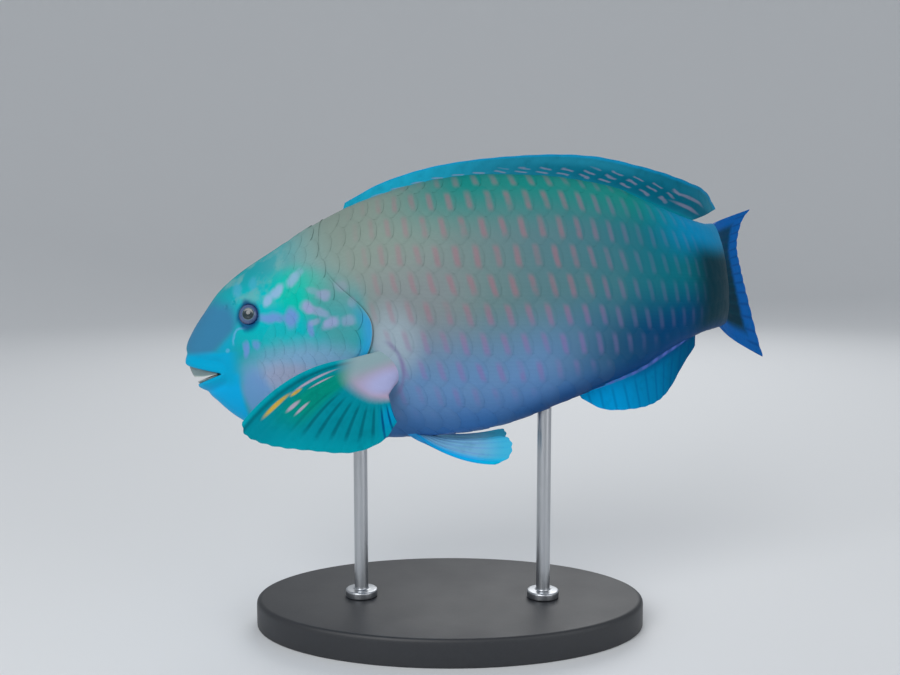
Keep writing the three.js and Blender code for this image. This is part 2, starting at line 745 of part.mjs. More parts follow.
function standRod(place, grownTorso) {
  const belly = toWorld(place, 0, sectionAt(place).belly);
  const foot = BASE_HEIGHT + TOUCH_GAP;
  const profile = [
    [0, foot], [ROD_COLLAR_RADIUS, foot], [ROD_COLLAR_RADIUS, foot + ROD_COLLAR_HEIGHT - 1],
    [ROD_COLLAR_RADIUS - 1, foot + ROD_COLLAR_HEIGHT], [ROD_RADIUS, foot + ROD_COLLAR_HEIGHT],
    [ROD_RADIUS, belly.z + ROD_REACH], [0, belly.z + ROD_REACH],
  ].map(([x, y]) => new THREE.Vector2(x, y));
  const geometry = new THREE.LatheGeometry(profile, 24);
  geometry.rotateX(Math.PI / 2);
  geometry.translate(belly.x, belly.y, 0);
  return geometryFromSolid(solidFromGeometry(geometry).subtract(grownTorso));
}

// Colours and finishes
const FINISHES = {
  head: { color: 0x12a3aa, roughness: 0.45, metalness: 0 },
  body: { color: 0x4f8d8c, roughness: 0.5, metalness: 0 },
  stalk: { color: 0x0f7fa0, roughness: 0.5, metalness: 0 },
  beak: { color: 0xa9b7ac, roughness: 0.35, metalness: 0 },
  eye: { color: 0x2a2f4a, roughness: 0.1, metalness: 0 },
  fin: { color: 0x0a8fb8, roughness: 0.5, metalness: 0 },
  caudal: { color: 0x14506a, roughness: 0.5, metalness: 0 },
  base: { color: 0x26282b, roughness: 0.6, metalness: 0 },
  rod: { color: 0xb9bcc0, roughness: 0.3, metalness: 1 },
};

const model = new THREE.Group();

function addPart(name, geometry, finish) {
  const mesh = new THREE.Mesh(geometry, new THREE.MeshStandardMaterial(FINISHES[finish]));
  mesh.name = name;
  model.add(mesh);
}

addPart('head', geometryFromSolid(headSolid()), 'head');
addPart('beak_upper', geometryFromSolid(beak(1, BEAK_EDGE_UPPER)), 'beak');
addPart('beak_lower', geometryFromSolid(beak(-1, BEAK_EDGE_LOWER)), 'beak');
addPart('eye_left', eyeGeometry(false), 'eye');
addPart('eye_right', eyeGeometry(true), 'eye');
addPart('torso', geometryFromShell(torsoShell(0)), 'body');
addPart('tail_stalk', geometryFromShell(stalkShell()), 'stalk');
addPart('dorsal_fin', geometryFromShell(middleFin(DORSAL, true)), 'fin');
addPart('anal_fin', geometryFromShell(middleFin(ANAL, false)), 'fin');
addPart('caudal_fin', geometryFromShell(caudalFin()), 'caudal');
addPart('pectoral_fin_left', geometryFromShell(pectoralFin(false)), 'fin');
addPart('pectoral_fin_right', geometryFromShell(pectoralFin(true)), 'fin');
addPart('pelvic_fin_left', geometryFromShell(pelvicFin(false)), 'fin');
addPart('pelvic_fin_right', geometryFromShell(pelvicFin(true)), 'fin');
addPart('stand_base', standBase(), 'base');

const grownTorso = solidFromShell(torsoShell(TOUCH_GAP));
for (const [name, place] of Object.entries(ROD_PLACES)) {
  addPart(name, standRod(place, grownTorso), 'rod');
}

export default model;
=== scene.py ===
"""A life-size parrotfish on a plain display stand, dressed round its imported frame.

All lengths are metres. A place on the fish is given as in the part's source: a share of the body's
length along the body line (0 is the snout, 1 is the root of the tail fin), a distance to the left
and a height, both as shares of the same length. A turn goes round a cross-section: 0 is the left
side and a quarter turn is the back.
"""

import logging
import math
from dataclasses import dataclass, field
from enum import Enum
from typing import Any, Callable, NamedTuple

import bpy
import numpy as np
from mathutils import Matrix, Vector


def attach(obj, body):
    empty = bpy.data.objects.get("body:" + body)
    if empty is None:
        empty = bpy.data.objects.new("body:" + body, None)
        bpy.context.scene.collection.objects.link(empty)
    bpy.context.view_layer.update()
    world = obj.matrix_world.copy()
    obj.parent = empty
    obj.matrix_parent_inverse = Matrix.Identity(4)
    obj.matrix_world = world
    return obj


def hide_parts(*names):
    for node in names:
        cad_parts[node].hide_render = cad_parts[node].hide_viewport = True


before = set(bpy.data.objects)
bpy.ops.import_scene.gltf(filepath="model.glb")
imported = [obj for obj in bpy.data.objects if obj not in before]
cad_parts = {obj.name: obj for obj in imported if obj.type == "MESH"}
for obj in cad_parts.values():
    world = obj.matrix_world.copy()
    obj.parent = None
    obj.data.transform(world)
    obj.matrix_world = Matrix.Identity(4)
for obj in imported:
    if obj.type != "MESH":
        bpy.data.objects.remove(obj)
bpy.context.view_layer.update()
log = logging.getLogger("parrotfish")

Array = np.ndarray
Rows = tuple[tuple[float, ...], ...]
Colour = tuple[float, float, float, float]
Pieces = list[bpy.types.Object]
MM = 0.001
QUARTER = math.pi / 2
TINY = 1e-12
SIDES = (("left", False), ("right", True))


def smooth(value: Array, start: float, end: float) -> Array:
    """Rises from 0 at start to 1 at end: t * t * (3 - 2t), with t the share of the way."""
    t = np.clip((value - start) / (end - start), 0, 1)
    return t * t * (3 - 2 * t)


def bell(distance: Array, width: float) -> Array:
    """A soft bump of height 1: exp(-(distance / width) squared)."""
    return np.exp(-((distance / width) ** 2))


def mix(start: Array, end: Array, share: Array) -> Array:
    """Goes straight from start to end: start + (end - start) * share."""
    return start + (end - start) * share


def unit(vectors: Array) -> Array:
    """Vectors of length 1 along the last axis."""
    return vectors / np.maximum(np.linalg.norm(vectors, axis=-1, keepdims=True), TINY)


def signed_power(value: Array, power: Array) -> Array:
    """A power that keeps the sign of its number: sgn(v) * |v| to the power."""
    return np.sign(value) * np.abs(value) ** power


def on_side(turn: Array, right: bool) -> Array:
    """A turn on the left side, or its mirror image on the right."""
    return math.pi - turn if right else turn


@dataclass(frozen=True)
class Curve:
    """A smooth curve through places and values, level past its ends.

    Between two places, with t the share of the way, the value is
    v0 + t * rise + t * (1 - t) * ((slope0 * step - rise) * (1 - t) + (rise - slope1 * step) * t).
    Each slope runs from the point before to the point after.
    """

    places: Array
    values: Array

    @staticmethod
    def each(rows: Rows, warp: Callable[[Array], Array] = np.array) -> list["Curve"]:
        """One curve for each column after the first, which holds the places that warp may change."""
        places, *columns = np.array(rows, float).T
        return [Curve(warp(places), values) for values in columns]

    def __call__(self, place: Array) -> Array:
        """The curve's value.

        Args:
            place: where to read the curve.

        Returns:
            One value for each place.
        """
        xs, ys = self.places, self.values
        index = np.arange(len(xs))
        before, after = np.maximum(index - 1, 0), np.minimum(index + 1, len(xs) - 1)
        slopes = (ys[after] - ys[before]) / (xs[after] - xs[before])
        x = np.clip(place, xs[0], xs[-1])
        i = np.clip(np.searchsorted(xs, x, side="left") - 1, 0, len(xs) - 2)
        step, rise = xs[i + 1] - xs[i], ys[i + 1] - ys[i]
        t = (x - xs[i]) / step
        bend = (slopes[i] * step - rise) * (1 - t) + (rise - slopes[i + 1] * step) * t
        return ys[i] + t * rise + t * (1 - t) * bend


@dataclass
class Surface:
    """A mesh in the making: points, faces, what its material reads at each point, and a bake map."""

    points: Array
    faces: list[Array]
    values: dict[str, Array] = field(default_factory=dict)
    bake_map: Array | None = None

    def outward(self) -> "Surface":
        """Turns the faces out: the signed cones of all faces add up to a positive volume.

        Returns:
            The same surface.
        """
        volume = 0.0
        for faces in self.faces:
            first = self.points[faces[:, 0]]
            for k in range(1, faces.shape[1] - 1):
                spread = np.cross(self.points[faces[:, k]], self.points[faces[:, k + 1]])
                volume += float(np.einsum("ij,ij->", first, spread))
        if volume < 0:
            self.faces = [faces[:, ::-1] for faces in self.faces]
        return self

    def to_object(self, name: str, material: bpy.types.Material, sharp: float = 0) -> bpy.types.Object:
        """Makes the mesh and its object, with smooth shading.

        Args:
            name: the piece's name.
            material: its material.
            sharp: edges that bend more than this, in degrees, stay sharp; 0 rounds all.

        Returns:
            The new object, at the origin.
        """
        mesh = bpy.data.meshes.new(name)
        mesh.from_pydata(self.points.tolist(), [], [face for faces in self.faces for face in faces.tolist()])
        for key, numbers in self.values.items():
            made = mesh.attributes.new(key, "FLOAT", "POINT")
            made.data.foreach_set("value", np.ascontiguousarray(numbers, dtype=np.float32).ravel())
        if self.bake_map is not None:
            corners = np.zeros(len(mesh.loops), dtype=np.int32)
            mesh.loops.foreach_get("vertex_index", corners)
            spots = self.bake_map[corners].astype(np.float32)
            mesh.uv_layers.new(name="OFBake").uv.foreach_set("vector", spots.ravel())
        mesh.polygons.foreach_set("use_smooth", np.ones(len(mesh.polygons), dtype=bool))
        if sharp:
            mesh.set_sharp_from_angle(angle=math.radians(sharp))
        mesh.update()
        mesh.materials.append(material)
        made_object = bpy.data.objects.new(name, mesh)
        bpy.context.collection.objects.link(made_object)
        return made_object

    def piece(self, name: str, material: bpy.types.Material, slot: str, *nodes: str,
              sharp: float = 0) -> bpy.types.Object:
        """Makes a finished piece of the model.

        Args:
            name: the piece's name.
            material: its material.
            slot: the record's slot for its finish; not used.
            nodes: the nodes that it stands for.
            sharp: edges that bend more than this, in degrees, stay sharp; 0 rounds all.

        Returns:
            The piece.
        """
        made = self.to_object(name, material, sharp)
        if nodes:
            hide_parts(*nodes)
        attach(made, "root")
        return made


def grid_faces(rows: int, columns: int, start: int = 0, loop: bool = False) -> Array:
    """Quads over a grid of points kept row after row.

    Args:
        rows: how many rows of points.
        columns: how many points in a row.
        start: the number of the grid's first point.
        loop: whether the last column joins the first.

    Returns:
        One row of four point numbers for each quad.
    """
    row = np.arange(rows - 1)[:, None] * columns
    here = np.arange(columns if loop else columns - 1)[None, :]
    there = (here + 1) % columns
    quads = np.stack([row + here, row + there, row + columns + there, row + columns + here], -1)
    return start + quads.reshape(-1, 4)


def fan_faces(tip: int, ring: Array) -> Array:
    """Triangles that close a ring of points onto one point."""
    return np.stack([np.full(len(ring), tip), np.roll(ring, -1), ring], -1)


def border(rows: int, columns: int) -> Array:
    """The numbers of the points round the border of a grid, in order."""
    number = np.arange(rows * columns).reshape(rows, columns)
    return np.concatenate([number[0, :-1], number[:-1, -1], number[-1, :0:-1], number[:0:-1, 0]])


def slab(front: Array, back: Array) -> Surface:
    """A closed sheet from two grids of points that lie face to face.

    Args:
        front: the points of one face, as rows x columns x 3.
        back: the points of the other face, in the same order.

    Returns:
        The surface, its rim closed with quads.
    """
    rows, columns = front.shape[:2]
    sheet, rim = rows * columns, border(rows, columns)
    after = np.roll(rim, -1)
    faces = [
        grid_faces(rows, columns),
        grid_faces(rows, columns, sheet)[:, ::-1],
        np.stack([after, rim, rim + sheet, after + sheet], -1),
    ]
    return Surface(np.concatenate([front.reshape(-1, 3), back.reshape(-1, 3)]), faces).outward()


def tube(rings: Array, tips: Array) -> Surface:
    """Rings of points joined to each other and closed onto a point at each end.

    Args:
        rings: the points, as rings x columns x 3.
        tips: the point before the first ring and the one after the last.

    Returns:
        The closed surface, its tips last.
    """
    count, columns = rings.shape[:2]
    total = count * columns
    faces = [
        grid_faces(count, columns, loop=True),
        fan_faces(total, np.arange(columns)),
        fan_faces(total + 1, np.arange(total - columns, total)[::-1]),
    ]
    return Surface(np.concatenate([rings.reshape(-1, 3), tips]), faces)


def turned_rings(radius: Array, height: Array, sides: int) -> tuple[Array, Array]:
    """Circles about Z: (radius * cos angle, radius * sin angle, height), and the angles."""
    angle = np.arange(sides) * 2 * math.pi / sides
    x, y = radius[:, None] * np.cos(angle), radius[:, None] * np.sin(angle)
    return np.stack([x, y, height[:, None] + 0 * angle], -1), angle


def lathe(profile: Array, sides: int) -> Surface:
    """A solid of revolution about Z: each point of the profile goes round a circle.

    Args:
        profile: rows of radius and height, from the bottom of the axis to the top of it.
        sides: how many steps go round.

    Returns:
        The closed surface, with the value "spin" as the angle round the axis.
    """
    rings, angle = turned_rings(*profile[1:-1].T, sides)
    made = tube(rings, np.array([[0, 0, profile[0, 1]], [0, 0, profile[-1, 1]]])).outward()
    made.values["spin"] = np.append(np.tile(angle, len(rings)), [0, 0])
    return made


def rounded(corners: Rows, steps: int = 6) -> Array:
    """A profile of straight lines whose corners are rounded.

    Each corner is replaced by a curve of second degree that starts and ends at its radius away:
    (1 - t) squared * before + 2t(1 - t) * corner + t squared * after.

    Args:
        corners: radius from the axis, height and rounding of each corner, ends included.
        steps: points on each rounded corner.

    Returns:
        Rows of radius and height.
    """
    spots = np.array([corner[:2] for corner in corners])
    t = np.linspace(0, 1, steps)[:, None]
    pieces = [spots[:1]]
    for before, here, after, corner in zip(spots, spots[1:], spots[2:], corners[1:-1]):
        start = here + unit(before - here) * corner[2]
        end = here + unit(after - here) * corner[2]
        pieces.append((1 - t) ** 2 * start + 2 * t * (1 - t) * here + t**2 * end)
    return np.concatenate([*pieces, spots[-1:]])


class Section(NamedTuple):
    """A cross-section of the body in shares of its length; it reaches as far up as down."""

    middle: Array
    reach: Array
    half: Array


@dataclass
class BodyForm:
    """The fish's outline and bend, the same as in the part's source."""

    length: float = 0.270
    snout: tuple[float, float, float] = (-0.118, 0.011, 0.120)
    tail_up: float = math.radians(7.8)
    line_step: float = 0.0025
    line_end: float = 1.5
    snout_place: float = 0.008
    back_power: float = 1.9
    belly_power: float = 2.25
    # where the flesh runs out over the root of the tail fin, and how much it shrinks till then
    flesh_end: float = 1.065
    end_reach: float = 0.95
    end_half: float = 0.02
    gill_side: float = 0.337
    # the edge of the gill cover at the back and at the belly, and how broad its flap is there
    gill_above: tuple[float, float] = (0.266, 0.42)
    gill_below: tuple[float, float] = (0.205, 0.57)
    # place along the body and yaw of the body line in degrees
    bend: Rows = (
        (-0.1, -10), (0, -10), (0.25, -9), (0.45, 0.5), (0.6, 7.5),
        (0.75, 20), (0.88, 45), (1, 66), (1.12, 56), (1.5, 54),
    )
    # place, height of the back, height of the belly, half width
    outline: Rows = (
        (0.008, -0.012, -0.012, 0), (0.012, 0.009, -0.04, 0.02), (0.024, 0.027, -0.062, 0.033),
        (0.05, 0.056, -0.09, 0.046), (0.08, 0.086, -0.121, 0.054), (0.125, 0.114, -0.149, 0.063),
        (0.18, 0.139, -0.165, 0.072), (0.25, 0.171, -0.177, 0.082), (0.33, 0.197, -0.182, 0.089),
        (0.42, 0.212, -0.188, 0.091), (0.5, 0.2145, -0.186, 0.087), (0.58, 0.205, -0.17, 0.078),
        (0.66, 0.189, -0.151, 0.066), (0.74, 0.163, -0.131, 0.053), (0.81, 0.127, -0.107, 0.042),
        (0.88, 0.1, -0.097, 0.033), (0.94, 0.086, -0.098, 0.026), (1, 0.082, -0.103, 0.02),
    )

    def __post_init__(self) -> None:
        """Works out the curves and walks the body line in small steps."""
        (self.yaw,) = Curve.each(self.bend)
        self.back, self.belly, self.half = Curve.each(self.outline, self.from_snout)
        steps = np.arange(0, self.line_end, self.line_step)
        turn = np.radians(self.yaw(steps + self.line_step / 2))
        self.line_places = np.append(steps, steps[-1] + self.line_step)
        self.line_x, self.line_y = (
            np.append(0, np.cumsum(part)) * self.line_step for part in (np.cos(turn), np.sin(turn))
        )

    def from_snout(self, place: Array) -> Array:
        """The square root of the distance from the snout, in which the outline is smooth."""
        return np.sqrt(np.maximum(place - self.snout_place, 0))

    def to_world(self, place: Array, left: Array, height: Array) -> Array:
        """Turns a place, a distance to the left and a height into a point.

        The body line gives (x, y) at the place, the distance is laid off across it, and the whole
        is tilted tail up about the snout.

        Args:
            place: shares of the length along the body line.
            left: shares of the length towards the fish's left.
            height: shares of the length upwards.

        Returns:
            Points in metres, as the last axis.
        """
        place, left, height = np.broadcast_arrays(place, left, height)
        turn, ahead = np.radians(self.yaw(place)), np.minimum(place, 0)
        x = np.interp(place, self.line_places, self.line_x) + ahead * np.cos(turn) + left * np.sin(turn)
        y = np.interp(place, self.line_places, self.line_y) + ahead * np.sin(turn) - left * np.cos(turn)
        up, along = math.sin(self.tail_up), math.cos(self.tail_up)
        tilted = np.stack([along * x - up * height, y, up * x + along * height], -1)
        return tilted * self.length + np.array(self.snout)

    def section(self, place: Array) -> Section:
        """The cross-section at a place; past the tail's root it thins out over the fin.

        Args:
            place: shares of the length along the body line.

        Returns:
            The section.
        """
        along = self.from_snout(np.minimum(place, 1))
        back, belly = self.back(along), self.belly(along)
        fade = smooth(place, 1, self.flesh_end)
        reach = (back - belly) / 2 * mix(1, self.end_reach, fade)
        return Section((back + belly) / 2, reach, self.half(along) * mix(1, self.end_half, fade))

    def edge(self, place: Array, back: bool) -> Array:
        """The height of the back or of the belly."""
        section = self.section(place)
        return section.middle + (section.reach if back else -section.reach)

    def spot(self, place: Array, turn: Array) -> tuple[Array, Array]:
        """Distance to the left and height of the surface at a turn.

        The section is a superellipse: left is half * sgn(cos) |cos| to the power 2 / p, and the
        height is reach * sgn(sin) |sin| to the power 2 / p from the middle, with one p for the
        back and one for the belly.

        Args:
            place: shares of the length along the body line.
            turn: angle round the section.

        Returns:
            Distance to the left, and height.
        """
        section = self.section(place)
        across, up = np.cos(turn), np.sin(turn)
        power = 2 / np.where(up > 0, self.back_power, self.belly_power)
        height = section.middle + section.reach * signed_power(up, power)
        return section.half * signed_power(across, power), height

    def surface(self, place: Array, turn: Array) -> Array:
        """The point of the body's surface at a place and a turn."""
        return self.to_world(place, *self.spot(place, turn))

    def normal(self, place: Array, turn: Array) -> Array:
        """The outward direction: the step along the body crossed with the step round it.

        Args:
            place: shares of the length along the body line.
            turn: angle round the section.

        Returns:
            Vectors of length 1.
        """
        small = 0.002
        before = np.maximum(place - small, self.snout_place)
        along = self.surface(place + small, turn) - self.surface(before, turn)
        around = self.surface(place, turn + small) - self.surface(place, turn - small)
        return unit(np.cross(along, around))

    def lifted(self, place: Array, turn: Array, lift: Array) -> Array:
        """The surface's point, moved outwards by some metres."""
        return self.surface(place, turn) + self.normal(place, turn) * np.asarray(lift)[..., None]

    def rise(self, place: Array, height: Array) -> Array:
        """How far a height is from the section's middle: 1 at the back, -1 at the belly."""
        section = self.section(place)
        return (height - section.middle) / (section.reach + TINY)

    def turn_at_height(self, place: Array, height: Array) -> Array:
        """The turn on the left side at which the surface has this height.

        Args:
            place: shares of the length along the body line.
            height: shares of the length.

        Returns:
            The turn, between the belly and the back.
        """
        rise = self.rise(place, height)
        power = np.where(rise > 0, self.back_power, self.belly_power)
        return np.arcsin(np.clip(signed_power(rise, power / 2), -1, 1))

    def turn_at_left(self, place: Array, left: Array) -> Array:
        """The turn on the belly at which the surface lies this far to the left."""
        share = np.clip(left / self.section(place).half, -1, 1)
        return -np.arccos(signed_power(share, self.belly_power / 2))

    def gill_edge(self, turn: Array) -> Array:
        """Where the gill cover ends: end + (side - end) * exp(-(sin turn / flap) squared).

        Args:
            turn: angle round the section.

        Returns:
            The place of the edge.
        """
        up = np.sin(turn)
        edges = zip(self.gill_above, self.gill_below)
        end, flap = (np.where(up > 0, above, below) for above, below in edges)
        return mix(end, self.gill_side, bell(up, flap))


@dataclass
class HeadRelief:
    """What stands out of the head and what lies in: lips, lids, nostrils and gill covers.

    Distances are in metres on the plane of places and heights. Each method takes places and heights
    as shares of the length and gives metres outwards, unless it says otherwise.
    """

    form: BodyForm
    corner: tuple[float, float] = (0.081, -0.0425)
    rise: float = 0.25
    drop: float = 0.285
    lip_at: float = 0.5 * MM
    lip_raise: float = 0.75 * MM
    lip_width: float = 2.4 * MM
    lip_end: float = 0.016
    roll_depth: float = 0.45 * MM
    roll_width: float = 0.55 * MM
    crease_at: float = 4.8 * MM
    crease_width: float = 1.5 * MM
    crease_depth: float = 0.5 * MM
    eye: tuple[float, float] = (0.145, 0.046)
    lid_radius: float = 4.9 * MM
    lid_width: float = 0.75 * MM
    lid_raise: float = 0.35 * MM
    orbit_radius: float = 6.9 * MM
    orbit_width: float = 3.2 * MM
    orbit_raise: float = 0.45 * MM
    socket_depth: float = 2.6 * MM
    socket_edge: tuple[float, float] = (3.2 * MM, 4.5 * MM)
    bare_round_eye: tuple[float, float] = (9 * MM, 12 * MM)
    # place, height and radius
    nostrils: Rows = ((0.103, 0.06, 0.8 * MM), (0.118, 0.066, 1.0 * MM))
    nostril_rim: float = 0.22 * MM
    nostril_depth: float = 1.1 * MM
    # in radii of the nostril: where its rim is, and how wide the rim and the pit are
    nostril_shares: tuple[float, float, float] = (1.35, 0.45, 0.8)
    groove_width: float = 1.6 * MM
    groove_depth: float = 0.4 * MM
    # the groove's rearmost place, how strongly it bends, and the height about which it does
    groove_line: tuple[float, float, float] = (0.232, 6.4, -0.035)
    groove_below: tuple[float, float] = (-0.15, -0.115)
    groove_above: tuple[float, float] = (0.0, 0.035)
    gill_raise: float = 1.0 * MM
    gill_ramp: float = 0.8
    gill_least: float = 0.06
    gill_nape: tuple[float, float] = (0.3, 0.62)
    # how far back the skin is bare on cheek, forehead and chin, and over how much it changes
    bare_cheek: float = 0.15
    bare_brow: float = 0.205
    bare_chin: float = 0.185
    brow_heights: tuple[float, float] = (-0.01, 0.05)
    chin_depths: tuple[float, float] = (0.115, 0.15)
    bare_soft: float = 0.012

    def lip_line(self, place: Array, upper: bool) -> Array:
        """The height of the mouth's edge ahead of its corner: it opens at a fixed slope."""
        slope = self.rise if upper else -self.drop
        return self.corner[1] + np.maximum(self.corner[0] - place, 0) * slope

    def from_corner(self, place: Array, height: Array) -> tuple[Array, Array, Array]:
        """How far ahead of the mouth's corner and above it, and the slope of the lip there."""
        above = height - self.corner[1]
        return self.corner[0] - place, above, np.where(above > 0, self.rise, self.drop)

    def mouth_gap(self, place: Array, height: Array) -> tuple[Array, Array]:
        """How far ahead of the corner, and what share of the way from the mouth's middle to its edge.

        Args:
            place: shares of the length.
            height: shares of the length.

        Returns:
            The distance ahead, and the share, below 1 between the lips.
        """
        ahead, above, slope = self.from_corner(place, height)
        share = np.abs(above) / np.maximum(ahead * slope, TINY)
        return ahead, np.where(ahead > 0, share, np.inf)

    def lips(self, place: Array, height: Array) -> Array:
        """A soft ridge along the mouth's edge, rolled in at the edge, with a crease behind it.

        Ridge, roll and crease are bells of the distance to the edge and fade behind the corner.

        Args:
            place: shares of the length.
            height: shares of the length.

        Returns:
            Metres outwards.
        """
        ahead, above, slope = self.from_corner(place, height)
        beside = np.abs(np.abs(above) - ahead * slope) / np.hypot(1, slope)
        off = np.where(ahead > 0, beside, np.hypot(ahead, above)) * self.form.length
        ridge = self.lip_raise * bell(off - self.lip_at, self.lip_width)
        sunk = self.roll_depth * bell(off, self.roll_width)
        sunk += self.crease_depth * bell(off - self.crease_at, self.crease_width)
        return (1 - smooth(-ahead, 0, self.lip_end)) * (ridge - sunk)

    def from_spot(self, place: Array, height: Array, at: float, level: float) -> Array:
        """The distance in metres from a spot of the head."""
        return np.hypot(place - at, height - level) * self.form.length

    def orbit(self, place: Array, height: Array) -> Array:
        """A broad swelling round the eye, a thin lid at its rim, and the socket sunk inside.

        Args:
            place: shares of the length.
            height: shares of the length.

        Returns:
            Metres outwards.
        """
        off = self.from_spot(place, height, *self.eye)
        swelling = self.orbit_raise * bell(off - self.orbit_radius, self.orbit_width)
        lid = self.lid_raise * bell(off - self.lid_radius, self.lid_width)
        return swelling + lid - self.socket_depth * (1 - smooth(off, *self.socket_edge))

    def nostril(self, place: Array, height: Array, at: float, level: float, radius: float) -> Array:
        """A pit with a low rim: a bell round it, less a deeper bell in its middle.

        Args:
            place: shares of the length.
            height: shares of the length.
            at: the nostril's place.
            level: the nostril's height.
            radius: the nostril's radius in metres.

        Returns:
            Metres outwards.
        """
        off = self.from_spot(place, height, at, level)
        rim_at, rim, pit = (share * radius for share in self.nostril_shares)
        return self.nostril_rim * bell(off - rim_at, rim) - self.nostril_depth * bell(off, pit)

    def groove(self, place: Array, height: Array) -> Array:
        """The shallow groove in front of the gill cover: a bell across the line at - bend * h squared.

        Args:
            place: shares of the length.
            height: shares of the length.

        Returns:
            Metres outwards.
        """
        at, bend, level = self.groove_line
        off = (place - at + bend * (height - level) ** 2) * self.form.length
        reach = smooth(height, *self.groove_below) * (1 - smooth(height, *self.groove_above))
        return -self.groove_depth * bell(off, self.groove_width) * reach

    def gill_strength(self, turn: Array) -> Array:
        """How much of the gill cover stands free: all of it at the side, hardly any on the nape."""
        free = np.abs(np.cos(turn)) ** 0.7 * (1 - smooth(np.sin(turn), *self.gill_nape))
        return mix(self.gill_least, 1, free)

    def gill(self, share: Array, turn: Array) -> Array:
        """The gill cover's swelling towards its edge, strongest at the side."""
        return self.gill_raise * smooth(share, self.gill_ramp, 1) * self.gill_strength(turn)

    def total(self, place: Array, height: Array) -> Array:
        """All the relief that depends on place and height."""
        pits = sum(self.nostril(place, height, *nostril) for nostril in self.nostrils)
        return self.lips(place, height) + self.orbit(place, height) + pits + self.groove(place, height)

    def naked(self, place: Array, height: Array) -> Array:
        """Where the head has no scales: 1 on the snout, lips, chin and round the eye, 0 elsewhere.

        The bare skin ends early on the cheek and later on the chin and the forehead.

        Args:
            place: shares of the length.
            height: shares of the length.

        Returns:
            From 0 to 1.
        """
        brow = mix(self.bare_cheek, self.bare_brow, smooth(height, *self.brow_heights))
        edge = mix(brow, self.bare_chin, smooth(-height, *self.chin_depths))
        bare = 1 - smooth(place, edge - self.bare_soft, edge + self.bare_soft)
        from_eye = self.from_spot(place, height, *self.eye)
        return np.maximum(bare, 1 - smooth(from_eye, *self.bare_round_eye))


